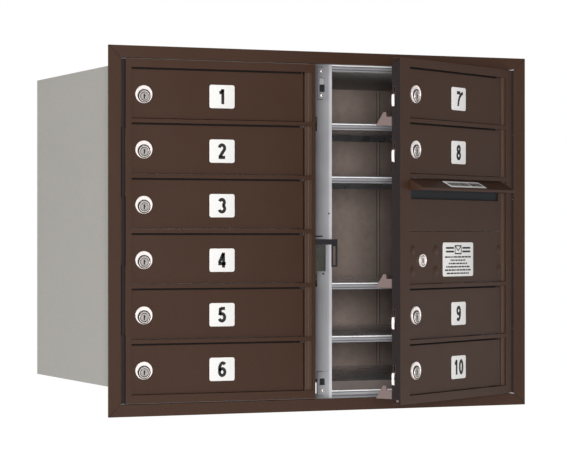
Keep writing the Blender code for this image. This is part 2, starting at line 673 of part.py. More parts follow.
def tenant_mesh():
    """One tenant door about its hinge axis: folded sheet, hinge barrel, pivots, lock hole."""
    low, high = TENANT_CLEARANCE - TENANT_HEIGHT / 2, TENANT_HEIGHT / 2 - TENANT_TOP_CLEARANCE
    half = TENANT_SHEET / 2
    face = -TENANT_BARREL_RADIUS + half
    left = -(TENANT_AXIS_X - TENANT_CLEARANCE)
    flange = face - half + TENANT_FLANGE
    path = ((flange, low + half), (face, low + half), (face, high - half), (flange, high - half))
    door = folded_sheet("tenant_door", path, "YZ", left, 0, TENANT_SHEET)
    join(door, rods("barrel", [((0, 0, low), (0, 0, high), TENANT_BARREL_RADIUS)]))
    reach = TENANT_HEIGHT / 2 + TENANT_PIVOT_REACH
    join(door, rods("pivots", [((0, 0, -reach), (0, 0, reach), TENANT_PIVOT_RADIUS)], 12))
    lock_x = -TENANT_AXIS_X + LOCK_INSET
    cut(door, rods("lock_hole", [((lock_x, -PAST, -LOCK_DROP), (lock_x, PAST, -LOCK_DROP),
                                  LOCK_NECK_RADIUS + RUNNING_CLEARANCE)], 32))
    return round_off(baked(door))


def lock_meshes():
    """Lock case and plug about the lock axis, with Y = 0 at the tenant door's face."""
    back = LOCK_BACK - TENANT_RECESS
    front = -GAP - LOCK_FACE_THICKNESS
    tip = front - LOCK_COLLAR_LENGTH
    case = rods("lock_cylinder", [((0, -GAP, LOCK_FACE_RISE), (0, front, LOCK_FACE_RISE),
                                   LOCK_FACE_RADIUS)], 36)
    join(case, rods("collar", [((0, tip, 0), (0, -GAP * 2, 0), LOCK_COLLAR_RADIUS)], 28))
    join(case, rods("neck", [((0, front / 2, 0), (0, back, 0), LOCK_NECK_RADIUS)], 28))
    bore = PLUG_RADIUS + RUNNING_CLEARANCE
    cut(case, rods("bore", [((0, tip - PAST, 0), (0, back + PAST, 0), bore)], 28))
    plug = rods("lock_plug", [((0, tip + PLUG_RECESS, 0),
                               (0, back + GAP + CAM_THICKNESS, 0), PLUG_RADIUS)], 24)
    cam = boxes("cam", [((-CAM_WIDTH / 2, back + GAP, -CAM_REACH),
                         (CAM_WIDTH / 2, back + GAP + CAM_THICKNESS, 0))])
    join(plug, cam)
    hub = rods("cam_hub", [((0, back + GAP, 0), (0, back + GAP + CAM_THICKNESS, 0),
                            CAM_WIDTH / 2 + MM)], 24)
    join(plug, hub)
    return round_off(baked(case)), round_off(baked(plug))


def make_tenant(number, row, opening_x, parent, meshes):
    door_mesh, case_mesh, plug_mesh = meshes
    place = Vector((opening_x + TENANT_AXIS_X, TENANT_AXIS_DEPTH, row_middle(row)))
    door = new_object("tenant_door_%d" % number, door_mesh)
    finish(door, BRONZE, parent, place)
    lock = Vector((opening_x + LOCK_INSET, TENANT_FACE, row_middle(row) - LOCK_DROP))
    case = new_object("lock_cylinder_%d" % number, case_mesh)
    finish(case, CHROME, door, lock)
    plug = new_object("lock_plug_%d" % number, plug_mesh)
    finish(plug, CHROME, door, lock)


# ---- right master door's own fittings ----

def make_outgoing(parent):
    """Slotted outgoing panel, its hood, and the arrow lock's panel below it."""
    low, high = row_bottom(OUTGOING_ROWS[0]), row_bottom(OUTGOING_ROWS[1]) + TENANT_HEIGHT
    left = RIGHT_OPENING_X + TENANT_CLEARANCE
    right = RIGHT_OPENING_X + TENANT_AXIS_X + TENANT_BARREL_RADIUS
    seam = (low + high) / 2
    back = TENANT_FACE + TENANT_SHEET
    panel = boxes("outgoing_panel", [((left, TENANT_FACE, seam + TENANT_CLEARANCE / 2),
                                      (right, back, high - TENANT_CLEARANCE / 2))])
    slot_high = high - SLOT_TOP
    slot = ((left + SLOT_END, TENANT_FACE - MM, slot_high - SLOT_HEIGHT),
            (right - SLOT_END, back + MM, slot_high))
    cut(panel, boxes("mail_slot", [slot]))
    finish(panel, BRONZE, parent)
    arrow = boxes("arrow_panel", [((left, TENANT_FACE, low + TENANT_CLEARANCE / 2),
                                   (right, back, seam - TENANT_CLEARANCE / 2))])
    x, z = RIGHT_OPENING_X + ARROW_INSET, row_middle(OUTGOING_ROWS[0]) - ARROW_DROP
    cut(arrow, rods("arrow_hole", [((x, TENANT_FACE - MM, z), (x, back + MM, z),
                                    ARROW_NECK_RADIUS + RUNNING_CLEARANCE)], 28))
    finish(arrow, BRONZE, parent)
    make_hood(parent, left, right, high - TENANT_CLEARANCE)


def make_hood(parent, left, right, top):
    """Sloping cover over the mail slot: a wedge hollowed from behind and below."""
    root = TENANT_FACE - GAP
    nose = FRONT - HOOD_PROJECTION
    low = top - HOOD_DROP - HOOD_LIP
    outline = ((root, top), (root, low), (nose, low), (nose, top - HOOD_DROP))
    hood = plate("outgoing_hood", outline, "YZ", left, right)
    past = HOOD_SHEET / 2
    slope = HOOD_DROP / (root - nose)
    inner_nose = nose + HOOD_SHEET
    inner_top = top - HOOD_SHEET * math.hypot(1, slope)
    hollow = ((root + past, inner_top + past * slope), (root + past, low - past),
              (inner_nose, low - past), (inner_nose, inner_top - (root - inner_nose) * slope))
    cut(hood, plate("hood_hollow", hollow, "YZ", left + HOOD_SHEET, right - HOOD_SHEET))
    finish(hood, BRONZE, parent)


def make_arrow_lock(parent):
    """Master lock: a round case and a plug whose arm lifts the hook bar."""
    back = ARROW_BACK - TENANT_RECESS
    front = -GAP - LOCK_FACE_THICKNESS
    place = Vector((RIGHT_OPENING_X + ARROW_INSET, TENANT_FACE,
                    row_middle(OUTGOING_ROWS[0]) - ARROW_DROP))
    case = rods("arrow_lock_cylinder", [((0, -GAP, 0), (0, front, 0), ARROW_FACE_RADIUS)], 36)
    join(case, rods("arrow_neck", [((0, front / 2, 0), (0, back, 0), ARROW_NECK_RADIUS)], 28))
    cut(case, rods("arrow_bore", [((0, front - PAST, 0), (0, back + PAST, 0),
                                   ARROW_PLUG_RADIUS + RUNNING_CLEARANCE)], 28))
    finish(new_object("arrow_lock_cylinder", round_off(baked(case))), CHROME, parent, place)
    plug = rods("arrow_lock_plug", [((0, front + ARROW_PLUG_RECESS, 0),
                                     (0, back + GAP + CAM_THICKNESS, 0), ARROW_PLUG_RADIUS)], 24)
    join(plug, boxes("arrow_arm", [((-CAM_WIDTH / 2, back + GAP, -ARROW_ARM),
                                    (CAM_WIDTH / 2, back + GAP + CAM_THICKNESS, 0))]))
    finish(new_object("arrow_lock_plug", round_off(baked(plug))), CHROME, parent, place)


def make_hook_bar(parent):
    """Sliding bar behind the free stile: three hooks that reach into the post."""
    front, back = FRONT + HOOK_BAR_FRONT, FRONT + HOOK_BAR_BACK
    tip = FRONT + HOOK_REACH
    middles = [hook_height(row, offset) for row, offset in HOOK_ROWS]
    outline = [(front, middles[0] - HOOK_BAR_END), (back, middles[0] - HOOK_BAR_END)]
    for middle in middles:
        low, high = middle - HOOK_HEIGHT / 2, middle + HOOK_HEIGHT / 2
        peak = tip - HOOK_SLANT
        outline += [(back, low), (tip, low), (tip, low + MM), (peak, high + HOOK_BEAK),
                    (peak - HOOK_BEAK_WIDTH, high + HOOK_BEAK),
                    (peak - HOOK_BEAK_WIDTH - MM, high), (back, high)]
    outline += [(back, middles[-1] + HOOK_BAR_END), (front, middles[-1] + HOOK_BAR_END)]
    bar = plate("hook_bar", outline, "YZ", HOOK_X - HOOK_THICKNESS / 2, HOOK_X + HOOK_THICKNESS / 2)
    finish(bar, ZINC, parent)


def add_flange_cuts(frame):
    """Slots for the lock catches and shortened ends on the free-edge flange."""
    past = MASTER_SHEET / 2
    left, right = RIGHT_DOOR_X - past, RIGHT_DOOR_X + MASTER_SHEET + past
    slots = []
    for row in CATCH_ROWS:
        lock = row_middle(row) - LOCK_DROP
        slots.append(((left, FRONT + CATCH_SLOT_DEPTHS[0], lock + CATCH_SLOT_HEIGHTS[0]),
                      (right, FRONT + CATCH_SLOT_DEPTHS[1], lock + CATCH_SLOT_HEIGHTS[1])))
    cut(frame, boxes("catch_slots", slots))
    ends = ((MASTER_BOTTOM - past, MASTER_BOTTOM + FLANGE_NOTCH),
            (MASTER_TOP - FLANGE_NOTCH, MASTER_TOP + past))
    cut(frame, boxes("flange_notches", [
        ((left, FRONT + FLANGE_NOTCH_DEPTH, low), (right, MASTER_BACK + past, high))
        for low, high in ends]))


def main():
    for obj in list(bpy.data.objects):
        bpy.data.objects.remove(obj)
    bpy.context.scene.collection.children.link(parts)
    bpy.context.scene.collection.children.link(cutters)
    make_trim()
    make_body()
    make_shelves()
    make_post()
    make_latch()
    left = pivot("left_master_axis", LEFT_AXIS, 0)
    right = pivot("right_master_axis", RIGHT_AXIS, OPEN_ANGLE)
    rows = [(row,) for row in range(ROWS)]
    make_master_frame("left_master_frame", LEFT_DOOR_X, LEFT_DOOR_STILES, LEFT_AXIS, left, rows)
    rows = [(0,), (1,), OUTGOING_ROWS, (4,), (5,)]
    frame = make_master_frame("right_master_frame", RIGHT_DOOR_X, RIGHT_DOOR_STILES, RIGHT_AXIS,
                              right, rows)
    add_flange_cuts(frame)
    hold(frame, right, Vector((0, 0, 0)))
    meshes = (tenant_mesh(), *lock_meshes())
    for index in range(ROWS):
        make_tenant(index + 1, ROWS - 1 - index, LEFT_OPENING_X, left, meshes)
    for index, row in enumerate((5, 4, 1, 0)):
        make_tenant(ROWS + 1 + index, row, RIGHT_OPENING_X, right, meshes)
    make_outgoing(right)
    make_arrow_lock(right)
    make_hook_bar(right)


main()
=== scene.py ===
"""Looks for a recessed wall mailbox unit with two hinged master doors.

Laid out as a Blender add-on: property groups hold the sizes and colours, one operator makes
each group of pieces, and a sidebar panel lists them. It is run as a script. Every place comes
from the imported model: a door's pieces are worked out in the door's own axes (right along the
face, inwards, up) about its hinge or lock axis, and then turned with the door.
"""
import json
import math

import bpy
import numpy as np
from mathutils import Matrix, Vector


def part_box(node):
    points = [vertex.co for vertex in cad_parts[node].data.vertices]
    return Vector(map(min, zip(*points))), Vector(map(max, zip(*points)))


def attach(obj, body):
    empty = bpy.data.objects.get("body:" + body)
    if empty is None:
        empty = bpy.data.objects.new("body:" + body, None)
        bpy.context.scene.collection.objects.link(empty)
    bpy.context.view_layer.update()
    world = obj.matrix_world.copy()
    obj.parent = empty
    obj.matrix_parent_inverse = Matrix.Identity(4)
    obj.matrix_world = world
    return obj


bl_info = {
    "name": "Cluster mailbox unit",
    "version": (1, 0, 0),
    "blender": (4, 5, 0),
    "location": "3D View > Sidebar > Mailbox",
    "description": "Finishes and fittings of a recessed mailbox unit",
    "category": "Object",
}

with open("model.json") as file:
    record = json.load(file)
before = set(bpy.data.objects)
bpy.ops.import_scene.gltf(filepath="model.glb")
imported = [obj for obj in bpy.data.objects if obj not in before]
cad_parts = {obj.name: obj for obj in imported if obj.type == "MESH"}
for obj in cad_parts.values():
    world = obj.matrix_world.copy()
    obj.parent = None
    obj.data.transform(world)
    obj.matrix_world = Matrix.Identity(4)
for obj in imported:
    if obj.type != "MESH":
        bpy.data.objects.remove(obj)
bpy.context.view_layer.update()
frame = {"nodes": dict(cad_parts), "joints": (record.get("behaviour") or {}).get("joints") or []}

MM = 0.001
TENANTS = 10
JOINTS = {joint["name"]: joint for joint in frame["joints"]}
RIGHT_HINGE = JOINTS["right_master_hinge"]
DOOR_TURN = -math.radians(RIGHT_HINGE["range_deg"][0])
HINGE_X, HINGE_Y = RIGHT_HINGE["pos_m"][:2]
FACE_IN_BARREL = -3.2 * MM         # tenant door's face, from its hinge axis
HINGE_OFFSET = 3.7 * MM            # hinge axis, from the master door's hinge edge
MASTER_WIDTH = 364.5 * MM
FREE_EDGE = HINGE_X - HINGE_OFFSET - MASTER_WIDTH
KNUCKLES = 5                       # on each piano hinge
DOOR_LEDGE, PANEL_LEDGE = 40.9, 85.4       # half lengths in mm, beside a door and the panels
FRAME_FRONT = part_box("trim_top")[0].y
DOOR_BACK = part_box("left_master_frame")[1].y


# ---- arrays: shapes ----

def circle(radius, count=48, across=0.0, up=0.0, squash=1.0):
    """Points (x, z) of a circle, or of an ellipse whose height is squash times its width."""
    turn = np.linspace(0, 2 * np.pi, count, endpoint=False)
    return np.stack([across + radius * np.cos(turn), up + radius * squash * np.sin(turn)], 1)


def rounded_box(width, height, corner, per_corner=8):
    """Outline of a box with round corners: four quarter circles joined by straight sides."""
    corner = min(corner, width / 2, height / 2)
    starts = np.array([0, 90, 180, 270])
    turn = np.radians(np.linspace(starts, starts + 90, per_corner)).T.ravel()
    side = np.repeat([[1, 1], [-1, 1], [-1, -1], [1, -1]], per_corner, axis=0)
    middle = side * [width / 2 - corner, height / 2 - corner]
    return middle + corner * np.stack([np.cos(turn), np.sin(turn)], 1)


def skin(rings, closed=False):
    """Four-sided faces between neighbouring rings (ring, point, xyz).

    An open run gets a flat face over its first and last ring; a closed run joins up.
    """
    rows, points = rings.shape[:2]
    index = np.arange(rows * points).reshape(rows, points)
    low = index if closed else index[:-1]
    high = np.roll(index, -1, 0) if closed else index[1:]
    quads = np.stack([low, np.roll(low, -1, 1), np.roll(high, -1, 1), high], -1)
    faces = quads.reshape(-1, 4).tolist()
    if not closed:
        faces += [index[0, ::-1].tolist(), index[-1].tolist()]
    return outward(rings.reshape(-1, 3), faces)


def outward(points, faces):
    """The same solid with its faces turned outwards, judged by its signed volume."""
    fans = np.array([(face[0], face[i], face[i + 1])
                     for face in faces for i in range(1, len(face) - 1)])
    a, b, c = points[fans[:, 0]], points[fans[:, 1]], points[fans[:, 2]]
    if np.einsum("ij,ij->i", a, np.cross(b, c)).sum() < 0:
        faces = [face[::-1] for face in faces]
    return points, faces


def stacked(outline, steps):
    """Rings of one outline: for each (scale or inset, depth) the outline shrunk and set back.

    An inset moves every point towards the outline's middle by that distance along the
    line to the middle; depth is along y, and more negative is nearer the viewer.
    """
    middle = (outline.min(0) + outline.max(0)) / 2
    arm = outline - middle
    length = np.maximum(np.linalg.norm(arm, axis=1, keepdims=True), 1e-9)
    rings = []
    for inset, depth in steps:
        flat = middle + arm * (1 - inset / length)
        rings.append(np.stack([flat[:, 0], np.full(len(flat), depth), flat[:, 1]], 1))
    return skin(np.array(rings))


def plaque(width, height, corner, back, front, edge, across=0.0, up=0.0):
    """A thin plate with round corners and a quarter-round edge of the given radius."""
    turn = np.linspace(0, np.pi / 2, 5)
    steps = [(0, back)] + [(edge * (1 - math.cos(t)), front + edge * (1 - math.sin(t)))
                           for t in turn]
    points, faces = stacked(rounded_box(width, height, corner), steps)
    return points + np.array([across, 0, up]), faces


def turned(profile, count=40, across=0.0, up=0.0):
    """A profile of (radius, depth) pairs revolved about the y axis, with flat ends."""
    turn = np.linspace(0, 2 * np.pi, count, endpoint=False)
    radius, depth = np.array(profile).T
    rings = np.stack([across + radius[:, None] * np.cos(turn),
                      np.repeat(depth[:, None], count, 1),
                      up + radius[:, None] * np.sin(turn)], -1)
    return skin(rings)


def ring(profile, count=48, across=0.0, up=0.0):
    """A closed profile of (radius, depth) pairs carried round the y axis, as a washer is."""
    turn = np.linspace(0, 2 * np.pi, count, endpoint=False)
    radius, depth = np.array(profile).T
    rings = np.stack([across + np.cos(turn)[:, None] * radius,
                      np.repeat(depth[None, :], count, 0),
                      up + np.sin(turn)[:, None] * radius], -1)
    return skin(rings, closed=True)


def stroke(path, width, back, front, loop=False):
    """A flat ribbon: a box profile carried along a path in the x-z plane, mitred at bends."""
    path = np.asarray(path, float)
    ahead = np.roll(path, -1, 0) - path
    behind = path - np.roll(path, 1, 0)
    if not loop:
        ahead[-1], behind[0] = behind[-1], ahead[0]
    ahead /= np.linalg.norm(ahead, axis=1, keepdims=True)
    behind /= np.linalg.norm(behind, axis=1, keepdims=True)
    along = ahead + behind
    along /= np.linalg.norm(along, axis=1, keepdims=True)
    side = np.stack([-along[:, 1], along[:, 0]], 1)
    side /= np.maximum(np.einsum("ij,ij->i", along, ahead), 0.5)[:, None]
    rows = []
    for reach, depth in ((1, back), (1, front), (-1, front), (-1, back)):
        flat = path + side * reach * width / 2
        rows.append(np.stack([flat[:, 0], np.full(len(path), depth), flat[:, 1]], 1))
    return skin(np.array(rows).transpose(1, 0, 2), closed=loop)


def beam(profile, start, end):
    """A closed profile of (y, z) pairs carried straight along x."""
    profile = np.asarray(profile, float)
    rings = [np.stack([np.full(len(profile), x), profile[:, 0], profile[:, 1]], 1)
             for x in (start, end)]
    return skin(np.array(rings))


def column(profile, start, end):
    """A closed profile of (x, y) pairs carried straight up z."""
    profile = np.asarray(profile, float)
    rings = [np.stack([profile[:, 0], profile[:, 1], np.full(len(profile), z)], 1)
             for z in (start, end)]
    return skin(np.array(rings))


def block(low, high):
    """A box between two opposite corners, in millimetres."""
    (left, front, bottom), (right, back, top) = np.array([low, high]) * MM
    return beam([(front, bottom), (back, bottom), (back, top), (front, top)], left, right)


def arc(across, up, radius_x, radius_z, start, end, count=20):
    """Points of an ellipse's arc between two angles in degrees."""
    turn = np.radians(np.linspace(start, end, count))
    return np.stack([across + radius_x * np.cos(turn), up + radius_z * np.sin(turn)], 1)


def digit_paths(digit):
    """Middle lines of a plain bold digit, in a box 0.56 wide and 1 high."""
    line = np.array
    return {
        "0": [arc(0.28, 0.5, 0.19, 0.41, 0, 345, 32)],
        "1": [line([(0.33, 0.0), (0.33, 1.0)]), arc(0.08, 1.02, 0.24, 0.27, -88, -12, 8)],
        "2": [np.concatenate([arc(0.275, 0.70, 0.185, 0.215, 172, -28, 20),
                              line([(0.12, 0.13)])]), line([(0.03, 0.085), (0.50, 0.085)])],
        "3": [arc(0.265, 0.715, 0.175, 0.20, 160, -75, 20),
              arc(0.265, 0.30, 0.20, 0.215, 80, -160, 22)],
        "4": [line([(0.37, 0.94), (0.08, 0.33)]), line([(0.01, 0.27), (0.55, 0.27)]),
              line([(0.38, 0.0), (0.38, 1.0)])],
        "5": [line([(0.49, 0.915), (0.17, 0.915)]), line([(0.17, 0.96), (0.115, 0.47)]),
              arc(0.265, 0.325, 0.20, 0.24, 140, -158, 24)],
        "6": [arc(0.285, 0.31, 0.19, 0.225, 0, 345, 28),
              arc(0.33, 0.50, 0.235, 0.415, 50, 200, 20)],
        "7": [line([(0.04, 0.915), (0.50, 0.915)]), arc(0.95, -0.02, 0.74, 0.94, 98, 178, 14)],
        "8": [arc(0.28, 0.735, 0.165, 0.18, 0, 345, 26), arc(0.28, 0.295, 0.195, 0.21, 0, 345, 28)],
        "9": [arc(0.275, 0.69, 0.19, 0.225, 0, 345, 28),
              arc(0.23, 0.50, 0.235, 0.415, 230, 380, 20)],
    }[digit]


def number(text, height, across, up, back, front):
    """A number's digits side by side about a middle point, as flat strokes."""
    step = 0.66 * height
    left = across - step * (len(text) - 1) / 2 - 0.28 * height
    made = []
    for index, digit in enumerate(text):
        corner = np.array([left + index * step, up - height / 2])
        for path in digit_paths(digit):
            span = path * height
            ring_like = len(path) > 24 and np.linalg.norm(span[0] - span[-1]) < 0.2 * height
            made.append(stroke(span + corner, 0.215 * height, back, front, loop=ring_like))
    return made


def screw(radius, depth, across, up):
    """A pan-head screw: domed head revolved about y, standing on the given depth."""
    recess = 0.35
    shape = np.array([(1, 0), (1, 0.25), (0.92, 0.42), (0.7, 0.55), (recess, 0.6),
                      (0.8 * recess, 0.3)])
    return turned(shape * (radius, -radius) + (0, depth), 24, across, up)


# ---- arrays: places ----

def at(points, origin, turn=0.0):
    """Points turned about z by an angle, then moved to an origin."""
    c, s = math.cos(turn), math.sin(turn)
    matrix = np.array([[c, -s, 0], [s, c, 0], [0, 0, 1]])
    return points @ matrix.T + np.array(origin)


def in_right_door(points):
    """Points given for the closed right master door, turned to where it stands at rest."""
    return at(points - np.array([HINGE_X, HINGE_Y, 0]), (HINGE_X, HINGE_Y, 0), DOOR_TURN)


def turn_of(joint):
    """How far a door stands turned at rest, from the axis of its lock."""
    x, y = joint["axis"][:2]
    return math.atan2(-x, y)


# ---- objects ----

def put(name, shapes, material, body, place=None, sharp=32):
    """One object from closed solids, with its place in its mesh, riding on a body."""
    points, faces, total = [], [], 0
    for part_points, part_faces in shapes:
        points.append(part_points)
        faces += [[index + total for index in face] for face in part_faces]
        total += len(part_points)
    points = np.concatenate(points)
    if place is not None:
        points = place(points)
    mesh = bpy.data.meshes.new(name)
    mesh.from_pydata(points.tolist(), [], faces)
    mesh.validate()
    mesh.shade_smooth()
    mesh.set_sharp_from_angle(angle=math.radians(sharp))
    obj = bpy.data.objects.new(name, mesh)
    bpy.context.scene.collection.objects.link(obj)
    mesh.materials.append(bpy.data.materials[material])
    if body:
        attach(obj, body)
    return obj


# ---- materials ----

def linear(code, alpha=1.0):
    """An sRGB hex colour as linear RGBA."""
    values = [int(code[i:i + 2], 16) / 255 for i in (1, 3, 5)]
    return (*(v / 12.92 if v <= 0.04045 else ((v + 0.055) / 1.055) ** 2.4 for v in values), alpha)


def shade(colour, factor):
    """A colour made lighter or darker, its alpha kept."""
    return (*(min(1.0, channel * factor) for channel in colour[:3]), 1.0)


def add(tree, kind, links=(), values=(), **settings):
    """Add a node with its settings, its sockets' values and its links."""
    made = tree.nodes.new("ShaderNode" + kind)
    for key, value in settings.items():
        setattr(made, key, value)
    for socket, value in values:
        made.inputs[socket].default_value = value
    for socket, source in links:
        tree.links.new(source, made.inputs[socket])
    return made


def new_material(name):
    """An empty node material's node tree."""
    material = bpy.data.materials.new(name)
    material.use_nodes = True
    material.node_tree.nodes.clear()
    return material.node_tree


def close(tree, shader):
    """End a material with its shader."""
    add(tree, "OutputMaterial", [("Surface", shader.outputs[0])])


def mottled(tree, tone_by, gloss_by, colour, contrast, span, roughness, swing):
    """A colour between a darker and a lighter tone, and a roughness that swings about a middle.

    Each follows its own pattern; the span is where in the first pattern the tones are reached.
    """
    tone = add(tree, "ValToRGB", [("Fac", tone_by)])
    dark, light = tone.color_ramp.elements
    dark.position, light.position = span
    dark.color, light.color = shade(colour, 1 - contrast), shade(colour, 1 + contrast)
    gloss = add(tree, "MapRange", [("Value", gloss_by)],
                [("From Min", 0.3), ("From Max", 0.7), ("To Min", roughness - swing),
                 ("To Max", roughness + swing)])
    return tone.outputs["Color"], gloss.outputs["Result"]


def powder_coat(name, colour, roughness, edge_highlight_lift):
    """Powder-coated aluminium: sprayed dry, baked, so a fine orange peel and soft satin gloss.

    The real peel is about 0.5 mm; it is drawn 2 mm across so that it shows. Edges are drawn
    a little lighter: a painted highlight where the rounded edges catch light.
    """
    tree = new_material(name)
    place = add(tree, "TexCoord").outputs["Object"]
    # 2 mm speckle of the coat's pigment
    speckle = add(tree, "TexNoise", [("Vector", place)],
                  [("Scale", 520.0), ("Detail", 3.0), ("Roughness", 0.6)])
    # 90 mm clouds: uneven coat thickness
    clouds = add(tree, "TexNoise", [("Vector", place)], [("Scale", 11.0), ("Detail", 2.0)])
    tone, gloss = mottled(tree, speckle.outputs["Fac"], clouds.outputs["Fac"], colour, 0.1,
                          (0.3, 0.7), roughness, 0.05)
    drift = add(tree, "MapRange", [("Value", clouds.outputs["Fac"])],
                [("From Min", 0.3), ("From Max", 0.7), ("To Min", 0.985), ("To Max", 1.015)])
    body = add(tree, "VectorMath", [(0, tone), ("Scale", drift.outputs["Result"])],
               operation="SCALE")
    # edge mask for the painted edge highlight: where the rounded normal leaves the flat one, over
    # 0.8 mm
    rounded = add(tree, "Bevel", values=[("Radius", 0.8 * MM)], samples=6)
    flat = add(tree, "NewGeometry").outputs["Normal"]
    match = add(tree, "VectorMath", [(0, rounded.outputs[0]), (1, flat)], operation="DOT_PRODUCT")
    edge = add(tree, "MapRange", [("Value", match.outputs["Value"])],
               [("From Min", 0.995), ("From Max", 0.86), ("To Min", 0.0), ("To Max", 1.0)])
    highlit_edge_colour = add(tree, "Mix", [(0, edge.outputs["Result"]), (6, body.outputs["Vector"])],
               [(7, shade(colour, edge_highlight_lift))], data_type="RGBA")
    peel = add(tree, "Bump", [("Height", speckle.outputs["Fac"]), ("Normal", rounded.outputs[0])],
               [("Strength", 0.12), ("Distance", 0.1 * MM)])
    shader = add(tree, "BsdfPrincipled",
                 [("Base Color", highlit_edge_colour.outputs[2]), ("Roughness", gloss),
                  ("Normal", peel.outputs["Normal"])],
                 [("IOR", 1.5), ("Metallic", 0.0), ("Specular IOR Level", 0.22)])
    close(tree, shader)


def drawn_metal(name, colour, roughness, stretch, metallic=1.0, contrast=0.14, painted_light_stops=None):
    """Bare metal drawn or rolled one way: fine lines run along the piece.

    Real lines are about 0.1 mm apart; they are drawn 1 mm apart across the grain and 60 mm
    long so that they show. Stops of (x in mm, factor) paint shade and highlight across it.
    """
    tree = new_material(name)
    place = add(tree, "TexCoord").outputs["Object"]
    grain = add(tree, "Mapping", [("Vector", place)], [("Scale", stretch)])
    lines = add(tree, "TexNoise", [("Vector", grain.outputs["Vector"])],
                [("Scale", 1.0), ("Detail", 4.0), ("Roughness", 0.65)])
    smudge = add(tree, "TexNoise", [("Vector", place)], [("Scale", 28.0), ("Detail", 3.0)])
    base, gloss = mottled(tree, lines.outputs["Fac"], smudge.outputs["Fac"], colour, contrast,
                          (0.25, 0.75), roughness, 0.07)
    rounded = add(tree, "Bevel", values=[("Radius", 0.5 * MM)], samples=4)
    scored = add(tree, "Bump", [("Height", lines.outputs["Fac"]), ("Normal", rounded.outputs[0])],
                 [("Strength", 0.15), ("Distance", 0.05 * MM)])
    if painted_light_stops:
        start, end = painted_light_stops[0][0], painted_light_stops[-1][0]
        across = add(tree, "SeparateXYZ", [("Vector", place)])
        share = add(tree, "MapRange", [("Value", across.outputs["X"])],
                    [("From Min", start * MM), ("From Max", end * MM)])
        ramp = add(tree, "ValToRGB", [("Fac", share.outputs["Result"])])
        for x, factor in painted_light_stops[1:-1]:
            ramp.color_ramp.elements.new((x - start) / (end - start))
        for stop, (x, factor) in zip(ramp.color_ramp.elements, painted_light_stops):
            stop.color = (factor, factor, factor, 1)
        base = add(tree, "VectorMath", [(0, base), (1, ramp.outputs["Color"])],
                   operation="MULTIPLY").outputs["Vector"]
    shader = add(tree, "BsdfPrincipled",
                 [("Base Color", base), ("Roughness", gloss),
                  ("Normal", scored.outputs["Normal"])],
                 [("Metallic", metallic)])
    close(tree, shader)


def cast_metal(name, colour, roughness, metallic, grain_mm, contrast=0.1):
    """Plated or painted metal without a direction: a soft mottle and faint pits."""
    tree = new_material(name)
    place = add(tree, "TexCoord").outputs["Object"]
    mottle = add(tree, "TexNoise", [("Vector", place)],
                 [("Scale", 1000.0 / grain_mm), ("Detail", 3.0), ("Roughness", 0.55)])
    mottle = mottle.outputs["Fac"]
    tone, gloss = mottled(tree, mottle, mottle, colour, contrast, (0.3, 0.7), roughness, 0.05)
    rounded = add(tree, "Bevel", values=[("Radius", 0.3 * MM)], samples=4)
    pits = add(tree, "Bump", [("Height", mottle), ("Normal", rounded.outputs[0])],
               [("Strength", 0.08), ("Distance", 0.05 * MM)])
    shader = add(tree, "BsdfPrincipled",
                 [("Base Color", tone), ("Roughness", gloss), ("Normal", pits.outputs["Normal"])],
                 [("Metallic", metallic), *([("IOR", 1.5)] if metallic < 0.5 else [])])
    close(tree, shader)


def spangled_steel(name, colour, roughness):
    """Galvanised sheet: hot dipped, so flat zinc crystals about 12 mm across, dulled."""
    tree = new_material(name)
    place = add(tree, "TexCoord").outputs["Object"]
    crystals = add(tree, "TexVoronoi", [("Vector", place)], [("Scale", 85.0), ("Randomness", 1.0)])
    streaks = add(tree, "TexNoise", [("Vector", place)],
                  [("Scale", 60.0), ("Detail", 5.0), ("Roughness", 0.6)])
    blend = add(tree, "Mix", [(2, crystals.outputs["Distance"]), (3, streaks.outputs["Fac"])],
                [(0, 0.75)], data_type="FLOAT")
    tone, gloss = mottled(tree, blend.outputs[0], streaks.outputs["Fac"], colour, 0.12,
                          (0.2, 0.7), roughness, 0.06)
    shader = add(tree, "BsdfPrincipled", [("Base Color", tone), ("Roughness", gloss)],
                 [("Metallic", 0.25)])
    close(tree, shader)


def printed(name, colour, roughness, grain_mm, contrast):
    """Vinyl film or ink: cut or printed flat, with a very faint mottle."""
    tree = new_material(name)
    place = add(tree, "TexCoord").outputs["Object"]
    mottle = add(tree, "TexNoise", [("Vector", place)],
                 [("Scale", 1000.0 / grain_mm), ("Detail", 2.0)])
    tone = add(tree, "ValToRGB", [("Fac", mottle.outputs["Fac"])])
    tone.color_ramp.elements[0].position, tone.color_ramp.elements[1].position = 0.3, 0.7
    tone.color_ramp.elements[0].color = shade(colour, 1 - contrast)
    tone.color_ramp.elements[1].color = shade(colour, 1 + contrast)
    shader = add(tree, "BsdfPrincipled", [("Base Color", tone.outputs["Color"])],
                 [("Roughness", roughness), ("IOR", 1.46)])
    close(tree, shader)


# ---- properties ----

def length(name, description, default, least):
    """A length's property, from its usual and least values in millimetres."""
    return bpy.props.FloatProperty(name=name, description=description, default=default * MM,
                                   min=least * MM, subtype="DISTANCE", unit="LENGTH")


def finish_colour(name, description, code):
    """A finish's colour property, from an sRGB hex code."""
    return bpy.props.FloatVectorProperty(name=name, description=description, subtype="COLOR",
                                         size=4, min=0, max=1, default=linear(code))


class MailboxSizes(bpy.types.PropertyGroup):
    """Sizes of the labels and small fittings."""
    label_width: length("Label width", "Width of a number label on the left door", 44, 10)
    label_height: length("Label height", "Height of a number label", 38, 10)
    right_label_width: length(
        "Right label width", "Width of a number label on the right door", 47, 10)
    digit_height: length("Digit height", "Height of the printed digits", 24.5, 5)
    bump_radius: length("Bump radius", "Radius of the round bumps on the arrow panel", 8, 1)
    notice_width: length("Notice width", "Width of the ruled notice on the arrow panel", 100, 20)
    notice_height: length("Notice height", "Height of the ruled notice on the arrow panel", 56, 10)


